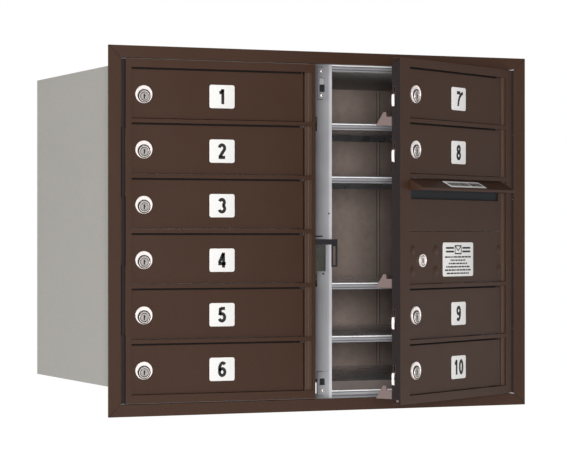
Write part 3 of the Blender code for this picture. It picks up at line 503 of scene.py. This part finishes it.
class MailboxColours(bpy.types.PropertyGroup):
    """Colours of the finishes."""
    bronze: finish_colour("Bronze coat", "Powder coat of the doors and trim", "#382419")
    grey: finish_colour("Grey coat", "Powder coat of the body behind the wall", "#A6A39D")
    steel: finish_colour("Galvanised steel", "Inside panels of the compartments", "#96867D")
    aluminium: finish_colour("Aluminium", "Bare aluminium of the post and shelves", "#C6C6CA")
    nickel: finish_colour("Nickel plate", "Plated die casting of the locks", "#EFE6E3")
    zinc: finish_colour("Zinc plate", "Zinc plating of the hook bar", "#756461")
    label: finish_colour("Label film", "White vinyl of the labels", "#D3D1CF")


# ---- operators ----

class MAILBOX_OT_materials(bpy.types.Operator):
    """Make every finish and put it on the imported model's parts"""
    bl_idname = "mailbox.materials"
    bl_label = "Finishes"

    def execute(self, context):
        colours = context.scene.mailbox_colours
        powder_coat("powder_coat_bronze", tuple(colours.bronze), 0.44, 1.75)
        powder_coat("powder_coat_grey", tuple(colours.grey), 0.52, 1.12)
        spangled_steel("galvanised_steel", tuple(colours.steel), 0.5)
        # extruded aluminium: die lines run up the post, rolling lines along the shelves
        # the post is drawn darker towards its left as a painted shadow of the left door's edge, and
        # lighter along its right edge as a painted highlight
        drawn_metal("extruded_aluminium_post", tuple(colours.aluminium), 0.42, (900, 900, 16), 0.4,
                    painted_light_stops=((-20.5, 0.12), (-9, 0.2), (0, 0.44), (14, 0.7), (16.5, 1.1),
                          (20.5, 1.15)))
        drawn_metal("rolled_aluminium_shelf", shade(colours.aluminium, 1.3), 0.3, (16, 900, 900))
        drawn_metal("rolled_aluminium_rib", shade(colours.aluminium, 0.7), 0.45,
                    (16, 900, 900), 0.4)
        # the bead along the top of each lip, drawn white: a painted highlight on its rounded bend
        drawn_metal("polished_aluminium_bead", linear("#FFFFFF"), 0.35, (16, 900, 900), 0.1, 0.03)
        # aluminium in the bottom of the lips' grooves, drawn darker as painted shade
        drawn_metal("oxidised_aluminium_groove", linear("#6B686D"), 0.55, (16, 900, 900), 0.2)
        # bronze coat drawn darker on the flange; lighter along the ledges and slot rims, a painted
        # highlight
        powder_coat("powder_coat_dark", linear("#1E1617"), 0.6, 2.0)
        powder_coat("powder_coat_rubbed", linear("#45342A"), 0.42, 1.7)
        # hinge barrels drawn nearly black: their dull coat, darkened further as painted shade of
        # the narrow gaps beside them
        powder_coat("powder_coat_barrel", linear("#1B1415"), 0.75, 1.3)
        # galvanised sheet drawn darker as painted shade, for the body's unlit corners and seam
        # lines
        cast_metal("dull_steel", linear("#5A514D"), 0.6, 0.1, 6.0, 0.1)
        # moulded rubber: matt, nearly black, slightly blue; also used as painted shade behind the
        # mail slot and the strike windows
        cast_metal("black_rubber", linear("#0E1113"), 0.85, 0.0, 3.0, 0.2)
        # nickel plated zinc die casting: bright, smooth, slightly warm, softened by handling
        cast_metal("nickel_plated_casting", tuple(colours.nickel), 0.3, 0.4, 1.5, 0.05)
        # the lock's turning plug: brass gone grey with wear, duller than the plated casting round
        # it
        cast_metal("worn_plug_metal", linear("#A39C99"), 0.4, 0.4, 1.0, 0.06)
        # the same casting in its grooves and keyways, drawn nearly black and matt: painted shade
        cast_metal("tarnished_casting", linear("#1C1614"), 0.7, 0.0, 1.0, 0.2)
        # zinc plated steel strip: dull, faintly pink grey
        cast_metal("zinc_plated_steel", tuple(colours.zinc), 0.5, 0.3, 3.0, 0.06)
        # black oxide steel and black enamel: nearly black, low gloss
        cast_metal("black_enamel", linear("#34352F"), 0.55, 0.0, 1.5, 0.25)
        cast_metal("black_oxide_steel", linear("#3A383B"), 0.4, 0.6, 2.0, 0.2)
        printed("white_vinyl_film", tuple(colours.label), 0.45, 4.0, 0.012)
        printed("black_printed_ink", linear("#0B0B0B"), 0.5, 1.0, 0.1)
        # the unlit inside of a hole
        printed("hole_shadow", linear("#070606"), 0.9, 2.0, 0.1)
        finishes = {
            "powder_coat_bronze": ("trim_", "left_master_frame", "right_master_frame",
                                   "tenant_door_", "outgoing_", "arrow_panel"),
            "powder_coat_grey": ("side_panel_", "top_panel", "bottom_panel"),
            "galvanised_steel": ("back_panel", "center_partition"),
            "extruded_aluminium_post": ("center_post",),
            "rolled_aluminium_shelf": ("shelf_",),
            "worn_plug_metal": ("lock_plug_", "arrow_lock_plug"),
            "nickel_plated_casting": ("lock_cylinder_", "arrow_lock_cylinder"),
            "zinc_plated_steel": ("hook_bar",),
            "black_enamel": ("latch_housing",),
            "black_oxide_steel": ("release_lever",),
        }
        for name, node in frame["nodes"].items():
            finish = [key for key, starts in finishes.items() if name.startswith(starts)]
            if not finish:
                raise RuntimeError("no finish for " + name)
            for slot in node.material_slots:
                slot.material = bpy.data.materials[finish[0]]
        return {"FINISHED"}


class MAILBOX_OT_numbers(bpy.types.Operator):
    """Stick a white label with a printed number on each tenant door"""
    bl_idname = "mailbox.numbers"
    bl_label = "Number labels"

    def execute(self, context):
        sizes = context.scene.mailbox_sizes
        film, ink = FACE_IN_BARREL - 0.25 * MM, FACE_IN_BARREL - 0.35 * MM
        for count in range(1, TENANTS + 1):
            hinge = JOINTS["tenant_%d_hinge" % count]
            turn = turn_of(JOINTS["lock_%d_turn" % count])
            right = count > 6
            across, up = (-140 * MM if right else -143.5 * MM), -2.8 * MM
            width = sizes.right_label_width if right else sizes.label_width
            height, digits = sizes.label_height, sizes.digit_height

            def place(points, origin=hinge["pos_m"], angle=turn):
                return at(points, origin, angle)

            body = "tenant_%d" % count
            put("number_label_%d" % count,
                [plaque(width, height, 3.5 * MM, FACE_IN_BARREL + 0.1 * MM, film, 0.12 * MM,
                        across, up)],
                "white_vinyl_film", body, place)
            put("number_%d" % count,
                number(str(count), digits, across, up, film + 0.05 * MM, ink),
                "black_printed_ink", body, place)
        return {"FINISHED"}


class MAILBOX_OT_locks(bpy.types.Operator):
    """Add the cast rim, groove and keyway of each tenant lock"""
    bl_idname = "mailbox.locks"
    bl_label = "Tenant locks"

    def execute(self, context):
        # in mm from the door's face plane: the case's face, its collar and the plug's end
        face, collar, plug = -2.5, -4.7, -3.9
        case_up, groove_up = 3.4 * MM, 0.6 * MM
        for count in range(1, TENANTS + 1):
            joint = JOINTS["lock_%d_turn" % count]
            turn = turn_of(joint)
            door = "tenant_%d" % count

            def place(points, origin=joint["pos_m"], angle=turn):
                return at(points, origin, angle)

            rim = np.array([(14.3, face + 1.6), (14.4, face), (14, face - 0.5),
                            (12.9, face - 0.75), (12, face - 0.5), (11.6, face + 0.1)])
            lip = np.array([(8.6, collar + 1.2), (8.6, collar + 0.1), (8.4, collar - 0.2),
                            (8, collar - 0.25), (7.7, collar), (7.6, collar + 0.5)])
            put("lock_rim_%d" % count, [ring(rim * MM, up=case_up), ring(lip * MM)],
                "nickel_plated_casting", door, place)
            # nearly black rings in the rim's groove, the well and the plug's seat: painted shade
            groove = self.channel(10.9, 9.2, face - 0.8, face + 0.3, groove_up)
            well = self.channel(9.2, 8.55, face - 0.6, face + 0.3)
            seat = self.channel(7.6, 6.4, collar - 0.05, collar + 2)
            put("lock_groove_%d" % count, [groove, well, seat], "tarnished_casting", door,
                place)
            # the keyway drawn nearly black: painted shade inside the slot
            end = ((plug + 0.4) * MM, (plug - 0.12) * MM, 0.05 * MM)
            key = [plaque(2.3 * MM, 8.4 * MM, 0.8 * MM, *end),
                   plaque(3.4 * MM, 1.4 * MM, 0.6 * MM, *end, 0.6 * MM, 1.2 * MM)]
            put("keyway_%d" % count, key, "tarnished_casting", "lock_%d" % count,
                place)
        return {"FINISHED"}

    def channel(self, outer, inner, front, back, up=0.0):
        """A dark ring of box section between two radii and two depths in mm."""
        section = np.array([(outer, front), (outer, back), (inner, back), (inner, front)])
        return ring(section * MM, up=up)


class MAILBOX_OT_arrow_panel(bpy.types.Operator):
    """Add the arrow panel's rim, keyway, round bumps and ruled notice"""
    bl_idname = "mailbox.arrow_panel"
    bl_label = "Arrow panel"

    def execute(self, context):
        sizes = context.scene.mailbox_sizes
        joint = JOINTS["arrow_lock_turn"]
        turn = turn_of(joint)

        def place(points):
            return at(points, joint["pos_m"], turn)

        front = -2.5
        rim = np.array([(10.5, front + 0.8), (10.5, front), (10.1, front - 0.5),
                        (9.4, front - 0.7), (8.7, front - 0.5), (8.3, front + 0.1)])
        boss = np.array([(7, front + 0.1), (6.9, front - 0.7), (6.3, front - 0.95),
                         (5.7, front - 0.7), (5.45, front + 0.1)])
        put("arrow_lock_rim", [ring(rim * MM), ring(boss * MM)], "nickel_plated_casting",
            "right_master", place)
        # nearly black ring in the rim's groove: painted shade
        groove = np.array([(8.3, front - 0.03), (8.3, front + 0.3), (7, front + 0.3),
                           (7, front - 0.03)])
        put("arrow_lock_groove", [ring(groove * MM)], "tarnished_casting", "right_master",
            place)
        # the keyway drawn nearly black: painted shade inside the slot
        plug = front + 0.6
        put("arrow_keyway", [plaque(1.5 * MM, 7 * MM, 0.7 * MM, (plug + 0.4) * MM,
                                    (plug - 0.12) * MM, 0.05 * MM)],
            "tarnished_casting", "arrow_plug", place)
        # bumps in pairs above and below the lock's axis, right along the panel from the lock
        radius = sizes.bump_radius
        dome = [(radius, 0.2 * MM), (0.97 * radius, -0.35 * MM), (0.8 * radius, -0.95 * MM),
                (0.5 * radius, -1.35 * MM), (0.2 * radius, -1.5 * MM), (0.02 * radius, -1.52 * MM)]
        bumps = [turned(dome, 32, x * MM, z * MM) for x in (-29, 44, 254) for z in (-17, 17)]
        put("arrow_panel_bumps", bumps, "powder_coat_bronze", "right_master", place)
        middle = 116 * MM
        width, height = sizes.notice_width, sizes.notice_height
        film = -0.25 * MM
        put("notice_film",
            [plaque(width, height, 4 * MM, 0.1 * MM, film, 0.12 * MM, middle, 1 * MM)],
            "white_vinyl_film", "right_master", place)
        ink = (film + 0.05 * MM, film - 0.1 * MM)
        marks = self.envelope(middle, 17 * MM, 20 * MM, 13 * MM, ink)
        for side in (-1, 1):
            for row in range(2):
                across, up = middle + side * 27 * MM, (20 - 6 * row) * MM
                marks.append(stroke([(across - 13 * MM, up), (across + 13 * MM, up)], 3 * MM, *ink))
        rows = np.linspace(5, -22, 6) * MM
        share = np.array([0.86, 0.5, 0.62, 0.78, 0.86, 0.74])
        for row, (up, part) in enumerate(zip(rows, share)):
            marks += self.dashes(middle, up, width * part, 2.5 * MM, row, ink)
        put("notice_marks", marks, "black_printed_ink", "right_master", place)
        return {"FINISHED"}

    def envelope(self, across, up, width, height, ink):
        """Outline of an envelope: a box and its flap."""
        left, right = across - width / 2, across + width / 2
        low, high = up - height / 2, up + height / 2
        box = [(left, low), (right, low), (right, high), (left, high)]
        flap = [(left, high), (across, up - height / 8), (right, high)]
        return [stroke(box, 2 * MM, *ink, loop=True), stroke(flap, 1.8 * MM, *ink)]

    def dashes(self, across, up, width, thick, seed, ink):
        """A ruled line broken into short dashes of uneven length."""
        cuts = np.cumsum(np.random.default_rng(seed).uniform(0.6, 1.6, 9))
        cuts = np.concatenate([[0], cuts]) / cuts[-1] * width + across - width / 2
        return [stroke([(start, up), (end - 1.6 * MM, up)], thick, *ink)
                for start, end in zip(cuts[:-1], cuts[1:])]


class MAILBOX_OT_outgoing(bpy.types.Operator):
    """Add the hood's marked label and the baffle behind the mail slot"""
    bl_idname = "mailbox.outgoing"
    bl_label = "Outgoing slot"

    def execute(self, context):
        origin = JOINTS["tenant_9_hinge"]["pos_m"]
        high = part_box("outgoing_hood")[1]
        turn = turn_of(JOINTS["lock_7_turn"])
        # the door's own axes about the tenant hinge line; panel face is at FACE_IN_BARREL
        face = FACE_IN_BARREL
        left, right = -299.8 * MM, 3.2 * MM
        drop, lip = 15 * MM, 4 * MM
        root, nose = face - 0.3 * MM, face - 3.5 * MM - 24 * MM
        top = high.z

        def place(points):
            return at(points, (origin[0], origin[1], 0), turn)

        slope = drop / (root - nose)
        middle = (left + right) / 2 + 4 * MM

        def on_slope(points):
            """Points laid flat on y = 0 tipped on to the hood's slope."""
            along = points[:, 2]
            run = math.hypot(1, slope)
            out = points.copy()
            out[:, 1] = root - along / run + points[:, 1] * slope / run
            out[:, 2] = top - along * slope / run - points[:, 1] / run
            return place(out)

        length = (root - nose) * math.hypot(1, slope)
        half = length / 2 + 0.5 * MM
        film, ink = 0.25 * MM, 0.35 * MM
        put("hood_label",
            [plaque(118 * MM, 20 * MM, 1.5 * MM, 0.1 * MM, -film, 0.1 * MM, middle, half)],
            "white_vinyl_film", "right_master", on_slope)
        widths = np.random.default_rng(11).uniform(5, 8, 12) * MM
        gaps = np.full(12, 2.2 * MM)
        gaps[7] = 6 * MM
        starts = np.concatenate([[0], np.cumsum(widths + gaps)[:-1]])
        starts += middle - (starts[-1] + widths[-1]) / 2
        marks = [stroke([(start, half), (start + width, half)], 10.5 * MM, -film + 0.05 * MM, -ink)
                 for start, width in zip(starts, widths)]
        put("hood_label_marks", marks, "black_printed_ink", "right_master", on_slope)
        # black rubber baffle behind the slot: a leaning sheet as long as the slot, drawn near-black
        # also as painted shade inside the slot
        slot_top = top + 1 * MM - 12 * MM - 0.5 * MM
        section = np.array([(2.4, 5), (3.6, 5), (4.8, -25), (3.6, -25)]) * MM
        baffle = beam(section + (face, slot_top), left + 5 * MM, right - 5 * MM)
        put("slot_baffle", [baffle], "black_rubber", "right_master", place)
        return {"FINISHED"}


class MAILBOX_OT_post(bpy.types.Operator):
    """Add the post's screws, slit and holes, the strike plates' edges and the latch's rivets"""
    bl_idname = "mailbox.post"
    bl_label = "Post and latch"

    def execute(self, context):
        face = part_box("center_post")[0].y
        sheet = face + 1.2 * MM
        places = ((1.5 * MM, 555.3 * MM), (1.5 * MM, 514.4 * MM), (4 * MM, 22.5 * MM))
        put("strike_screws", [screw(2.6 * MM, face, x, z) for x, z in places],
            "nickel_plated_casting", "cabinet")
        holes = [turned([(1.3 * MM, face - 1.45 * MM), (1.3 * MM, face - 1.65 * MM)], 12, x, z)
                 for x, z in places]
        below, above = sheet + 0.3 * MM, sheet - 0.06 * MM
        holes.append(plaque(15 * MM, 2.4 * MM, 1 * MM, below, above, 0.02 * MM,
                            -4 * MM, 280 * MM))
        holes += [turned([(radius * MM, below), (radius * MM, above)], 16, x * MM, z * MM)
                  for radius, x, z in ((1.7, 4.5, 217.5), (1.5, 15, 318))]
        # the shadow along each strike plate's left, top and bottom
        for low, high in ((14.3, 54.7), (507.8, 562.2)):
            edge = np.array([(3, low), (-6.9, low), (-6.9, high), (3, high)]) * MM
            holes.append(stroke(edge, 0.7 * MM, face + 0.1 * MM, face - 0.05 * MM))
        put("post_holes", holes, "hole_shadow", "cabinet")
        # nearly black plates behind the strike windows: painted shadow inside the post
        window_shadows = [block((-3, 15.5, 519), (8, 15.8, 532.5)), block((-3, 15.5, 31), (8, 15.8, 44))]
        put("strike_pockets", window_shadows, "black_rubber", "cabinet")
        put("strike_tongue", [block((-2.3, 13.6, 533), (6.8, 14.6, 543.5))], "rolled_aluminium_rib",
            "cabinet")
        low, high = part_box("latch_housing")
        rivets = [screw(1.5 * MM, low.y, low.x + 3 * MM, high.z - drop * MM) for drop in (4, 20)]
        put("latch_rivets", rivets, "black_oxide_steel", "cabinet")
        return {"FINISHED"}


class MAILBOX_OT_lips(bpy.types.Operator):
    """Add the rolled profile of the shelf lips and of the body's upper and lower lips"""
    bl_idname = "mailbox.lips"
    bl_label = "Lips"

    def execute(self, context):
        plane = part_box("shelf_right_1")[0].y / MM
        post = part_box("center_post")[1].x / MM + 0.4
        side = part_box("bottom_panel")[1].x / MM
        body = [(across, low, high) for across in ((-side + 12, -post), (post, side - 12))
                for low, high in ((9.2, 22.3), (555.3, 566.4))]
        shelves = []
        for name in frame["nodes"]:
            if name.startswith("shelf_"):
                low, high = (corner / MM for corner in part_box(name))
                across = (low.x, -post) if low.x < -post else (post, high.x)
                shelves.append((across, low.z + 0.1, low.z + 10.8))
        for name, lips, front in (("body_lip", body, plane - 0.9), ("shelf_lip", shelves, plane)):
            grooves, ribs, beads = [], [], []
            for (left, right), low, high in lips:
                # the groove is drawn darker: painted shade
                grooves.append(block((left, front - 0.3, low), (right, plane - 0.05, high - 1.5)))
                tall = high - low
                ribs += [self.bowed(left, right, low + 0.38 * tall, high - 3.2, front - 0.25, 0.5),
                         self.bowed(left, right, low + 0.4, low + 0.22 * tall, front - 0.25, 0.4)]
                # the bead is drawn white: a painted highlight
                beads.append(self.bowed(left, right, high - 1.9, high + 0.1, front, 0.7))
            for kind, pieces, finish in (("_grooves", grooves, "oxidised_aluminium_groove"),
                                         ("_ribs", ribs, "rolled_aluminium_rib"),
                                         ("_beads", beads, "polished_aluminium_bead")):
                put(name + kind, pieces, finish, "cabinet")
        # strips below the lower lips, in the darker galvanised sheet: painted shade
        sills = [block((left, plane - 0.35, 22.4), (right, plane - 0.05, 37.3))
                 for left, right in ((-side, -post), (post, side))]
        put("sills", sills, "dull_steel", "cabinet")
        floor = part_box("bottom_panel")
        liners = [block((left, plane + 2, 37.45), (right, floor[1].y / MM - 10, 37.75))
                  for left, right in ((-side + 0.5, -post), (post, side - 0.5))]
        put("floor_liners", liners, "rolled_aluminium_shelf", "cabinet")
        # lap seam of the back panel: two shadow lines the height of the body
        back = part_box("back_panel")[0]
        seams = [block((x, back.y / MM - 0.25, 40), (x + 1.6, back.y / MM + 0.2, 552))
                 for x in (304.5, 310.5)]
        put("back_seams", seams, "dull_steel", "cabinet")
        return {"FINISHED"}

    def bowed(self, left, right, low, high, back, rise):
        """A rib along x: its front is an arc that stands out from the back by the rise."""
        turn = np.linspace(-np.pi / 2, np.pi / 2, 9)
        up = (low + high) / 2 + np.sin(turn) * (high - low) / 2
        out = back - 0.1 - rise * np.cos(turn)
        behind = back + 0.1
        profile = np.concatenate([[(behind, low)], np.stack([out, up], 1), [(behind, high)]])
        return beam(profile * MM, left * MM, right * MM)


class MAILBOX_OT_hinges(bpy.types.Operator):
    """Add the hinge barrels, the ledges beside the doors, the painted shadows under the rails and
    the mitre lines
    """
    bl_idname = "mailbox.hinges"
    bl_label = "Hinges and ledges"

    def execute(self, context):
        low, high = (corner.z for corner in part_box("left_master_frame"))
        length = (high - low) / KNUCKLES
        for side in ("left", "right"):
            x, y = JOINTS[side + "_master_hinge"]["pos_m"][:2]
            barrel = circle(3.28 * MM, 40, x, y)
            # barrels drawn nearly black: painted shade of the gaps beside them
            for kind, odd in (("fixed", 0), ("moving", 1)):
                spans = [(low + index * length + 0.5 * MM, low + (index + 1) * length - 0.5 * MM)
                         for index in range(odd, KNUCKLES, 2)]
                moves = kind == "moving"
                put("%s_barrels_%s" % (kind, side), [column(barrel, *span) for span in spans],
                    "powder_coat_barrel", side + "_master" if moves else "cabinet",
                    in_right_door if moves and side == "right" else None)
        face = FACE_IN_BARREL / MM
        for side, counts in (("left", range(1, 7)), ("right", range(7, 11))):
            strips = []
            turn = DOOR_TURN if side == "right" else 0
            for count in counts:
                strips += self.ledge(JOINTS["tenant_%d_hinge" % count]["pos_m"], turn, DOOR_LEDGE)
            if side == "right":
                upper, lower = (JOINTS["tenant_%d_hinge" % count]["pos_m"] for count in (8, 9))
                middle = (upper[0], upper[1], (upper[2] + lower[2]) / 2)
                strips += self.ledge(middle, turn, PANEL_LEDGE)
            # the ledges are drawn lighter than the doors' coat: a painted highlight on the strips
            # beside the tenant doors' barrels
            put("ledges_" + side, strips, "powder_coat_rubbed", side + "_master")
            # black bands over the top of each tenant door: painted shadow under the rail above it
            shadow_bands = [block((-303.4, 3.95, 35.3), (-1.5, 5.2, 43.2))]
            put("door_seals_" + side,
                [(at(points, JOINTS["tenant_%d_hinge" % count]["pos_m"], turn), faces)
                 for count in counts for points, faces in shadow_bands],
                "hole_shadow", side + "_master")
        # hairline shadows where the trim's mitred pieces meet
        outer_low, outer_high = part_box("trim_bottom")[0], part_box("trim_top")[1]
        reach, wide = 19.5 * MM, 0.8 * MM
        lines = []
        for x, inward in ((outer_low.x, 1), (outer_high.x, -1)):
            for z, upward in ((outer_low.z, 1), (outer_high.z, -1)):
                path = [(x + inward * wide, z + upward * wide),
                        (x + inward * (reach - wide), z + upward * (reach - wide))]
                lines.append(stroke(path, wide, FRAME_FRONT + 0.2 * MM, FRAME_FRONT - 0.05 * MM))
        put("mitre_lines", lines, "hole_shadow", "cabinet")
        return {"FINISHED"}

    def ledge(self, origin, turn, half):
        """The strip between a tenant door's barrel and the stile, with a bead along it."""
        face = FACE_IN_BARREL / MM
        pieces = [block((4.2, face - 0.25, -half), (16, face + 0.2, half)),
                  block((10.6, face - 0.7, -half), (12.4, face - 0.1, half))]
        return [(at(points, origin, turn), faces) for points, faces in pieces]


class MAILBOX_OT_door_edge(bpy.types.Operator):
    """Add the free-edge flange's dark face, slot edges, screws and catch clips"""
    bl_idname = "mailbox.door_edge"
    bl_label = "Door edge fittings"

    def execute(self, context):
        edge = FREE_EDGE
        heights = [JOINTS["lock_%d_turn" % count]["pos_m"][2] for count in (10, 9, 8, 7)]
        low, high = (corner.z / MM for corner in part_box("right_master_frame"))
        left, right = edge / MM - 0.3, edge / MM + 0.1
        # the flange's face in strips round the catch slots; its depth runs from the front edge
        # to the slots' front, the slots' back and the back edge, in mm from the wall
        front, slot_front, slot_back, back = -2.9, 5.9, 10.1, 12.9
        notch, slot_below, slot_above = 8.2, 20.1, 14.1
        bottom, top = low + notch, high - notch
        strips = [block((left, front, bottom), (right, slot_front, top)),
                  block((left, slot_back, bottom), (right, back, top)),
                  block((left, front, low + 0.1), (right, -0.1, bottom)),
                  block((left, front, top), (right, -0.1, high - 0.1))]
        starts = [bottom] + [height / MM + slot_above for height in heights]
        ends = [height / MM - slot_below for height in heights] + [top]
        strips += [block((left, slot_front, start), (right, slot_back, end))
                   for start, end in zip(starts, ends)]
        put("flange_face", strips, "powder_coat_dark", "right_master",
            in_right_door)

        def on_flange(points):
            """Pieces made facing -y, with x counted forwards from the wall, put on the flange."""
            return in_right_door(at(points, (edge, 0, 0), -np.pi / 2))

        slot = np.array([(-6.2, -4), (-6.2, 13.6), (-9.8, 13.6), (-9.8, -4)]) * MM
        # a lighter rim round each catch slot: a painted highlight on its edge
        rims = [stroke(slot + (0, z), 0.7 * MM, -0.2 * MM, -0.45 * MM) for z in heights]
        put("slot_rims", rims, "powder_coat_rubbed", "right_master", on_flange)
        head = np.array([(1.7, -0.2), (1.6, -0.6), (0.6, -0.7)]) * MM
        dots = [turned(head, 16, -8 * MM, z * MM) for z in (546, 389, 298, 262, 203, 113, 53)]
        put("flange_screws", dots, "hole_shadow", "right_master", on_flange)
        clips = []
        turn = np.linspace(-1, 1, 15)
        for height in heights:
            # a tongue bowed in height: its outer face is an arc that leaves and meets the flange
            up = height - 8 * MM + turn * 10 * MM
            bow = -1.25 * MM * np.sqrt(np.clip(1 - turn ** 2, 0, 1)) - 0.05 * MM
            root = np.full(15, edge + 0.6 * MM)
            outline = ((root, 0.2), (edge + bow, -0.2), (edge + bow, -4.2), (root, -4.6))
            rings = np.stack([np.stack([x, np.full(15, DOOR_BACK + y * MM), up], 1)
                              for x, y in outline], 1)
            clips.append(skin(rings))
        put("catch_clips", clips, "nickel_plated_casting", "right_master",
            in_right_door)
        return {"FINISHED"}


class MAILBOX_OT_stage(bpy.types.Operator):
    """Make the camera, the pale floor and the soft studio light"""
    bl_idname = "mailbox.stage"
    bl_label = "Stage"

    def execute(self, context):
        scene = context.scene
        scene.view_settings.view_transform = "Standard"
        data = bpy.data.cameras.new("camera")
        data.sensor_width, data.lens = 36, 148.04
        data.clip_start, data.clip_end = 0.1, 200
        camera = bpy.data.objects.new("camera", data)
        camera.location = (-1.585, -3.536, 0.278)
        camera.rotation_euler = (math.radians(90), 0, math.radians(-23.15))
        scene.collection.objects.link(camera)
        scene.camera = camera
        # painted studio floor, well below the unit, as far as the eye reaches
        tree = new_material("painted_floor")
        place = add(tree, "TexCoord").outputs["Object"]
        grain = add(tree, "TexNoise", [("Vector", place)], [("Scale", 3.0), ("Detail", 2.0)])
        tone = add(tree, "ValToRGB", [("Fac", grain.outputs["Fac"])])
        tone.color_ramp.elements[0].color = linear("#88888A")
        tone.color_ramp.elements[1].color = linear("#8E8E8E")
        shader = add(tree, "BsdfPrincipled", [("Base Color", tone.outputs["Color"])],
                     [("Roughness", 0.8), ("Specular IOR Level", 0.0),
                      ("Emission Color", (1, 1, 1, 1)), ("Emission Strength", 0.94)])
        close(tree, shader)
        turn = np.linspace(0, 2 * np.pi, 64, endpoint=False)
        rings = np.array([np.stack([60 * np.cos(turn), 60 * np.sin(turn), np.full(64, z)], 1)
                          for z in (-0.50, -0.45)])
        floor = put("floor", [skin(rings)], "painted_floor", None)
        # white room: plain white where it is seen, softer where it lights the unit
        world = bpy.data.worlds.new("studio")
        world.use_nodes = True
        tree = world.node_tree
        tree.nodes.clear()
        seen = add(tree, "LightPath").outputs["Is Camera Ray"]
        light = add(tree, "Background", values=[("Color", (1, 1, 1, 1)), ("Strength", 0.25)])
        wall = add(tree, "Background", values=[("Color", (1, 1, 1, 1)), ("Strength", 1.0)])
        both = add(tree, "MixShader", [(0, seen), (1, light.outputs[0]), (2, wall.outputs[0])])
        add(tree, "OutputWorld", [("Surface", both.outputs[0])])
        scene.world = world
        for name, place, aim, size, power in (
                ("front", (-1.6, -4.0, 0.42), (0, 0.1, 0.28), 0.8, 135),
                ("top", (-0.9, -2.3, 2.9), (0, 0, 0.3), 1.6, 24),
                ("side", (-4.2, -0.4, 1.2), (-0.35, 0.2, 0.3), 2.0, 20)):
            lamp = bpy.data.lights.new(name, "AREA")
            lamp.shape, lamp.size, lamp.energy = "DISK", size, power
            obj = bpy.data.objects.new(name, lamp)
            obj.location = place
            way = np.array(aim) - np.array(place)
            obj.rotation_euler = (math.acos(-way[2] / np.linalg.norm(way)), 0,
                                  math.atan2(way[1], way[0]) - math.pi / 2)
            scene.collection.objects.link(obj)
        return {"FINISHED"}


class MAILBOX_PT_panel(bpy.types.Panel):
    """Sizes, colours and makers of the mailbox unit's looks"""
    bl_label = "Mailbox unit"
    bl_idname = "MAILBOX_PT_panel"
    bl_space_type = "VIEW_3D"
    bl_region_type = "UI"
    bl_category = "Mailbox"

    def draw(self, context):
        layout = self.layout
        for group in (context.scene.mailbox_sizes, context.scene.mailbox_colours):
            for name in group.bl_rna.properties.keys():
                if name not in ("rna_type", "name"):
                    layout.prop(group, name)
        for maker in MAKERS:
            layout.operator(maker.bl_idname)


MAKERS = (MAILBOX_OT_materials, MAILBOX_OT_numbers, MAILBOX_OT_locks, MAILBOX_OT_arrow_panel,
          MAILBOX_OT_outgoing, MAILBOX_OT_post, MAILBOX_OT_lips, MAILBOX_OT_hinges,
          MAILBOX_OT_door_edge, MAILBOX_OT_stage)
CLASSES = (MailboxSizes, MailboxColours, *MAKERS, MAILBOX_PT_panel)


def register():
    for item in CLASSES:
        bpy.utils.register_class(item)
    bpy.types.Scene.mailbox_sizes = bpy.props.PointerProperty(type=MailboxSizes)
    bpy.types.Scene.mailbox_colours = bpy.props.PointerProperty(type=MailboxColours)


def unregister():
    del bpy.types.Scene.mailbox_colours
    del bpy.types.Scene.mailbox_sizes
    for item in reversed(CLASSES):
        bpy.utils.unregister_class(item)


def main():
    register()
    for maker in MAKERS:
        group, name = maker.bl_idname.split(".")
        getattr(getattr(bpy.ops, group), name)()


if __name__ == "__main__":
    main()
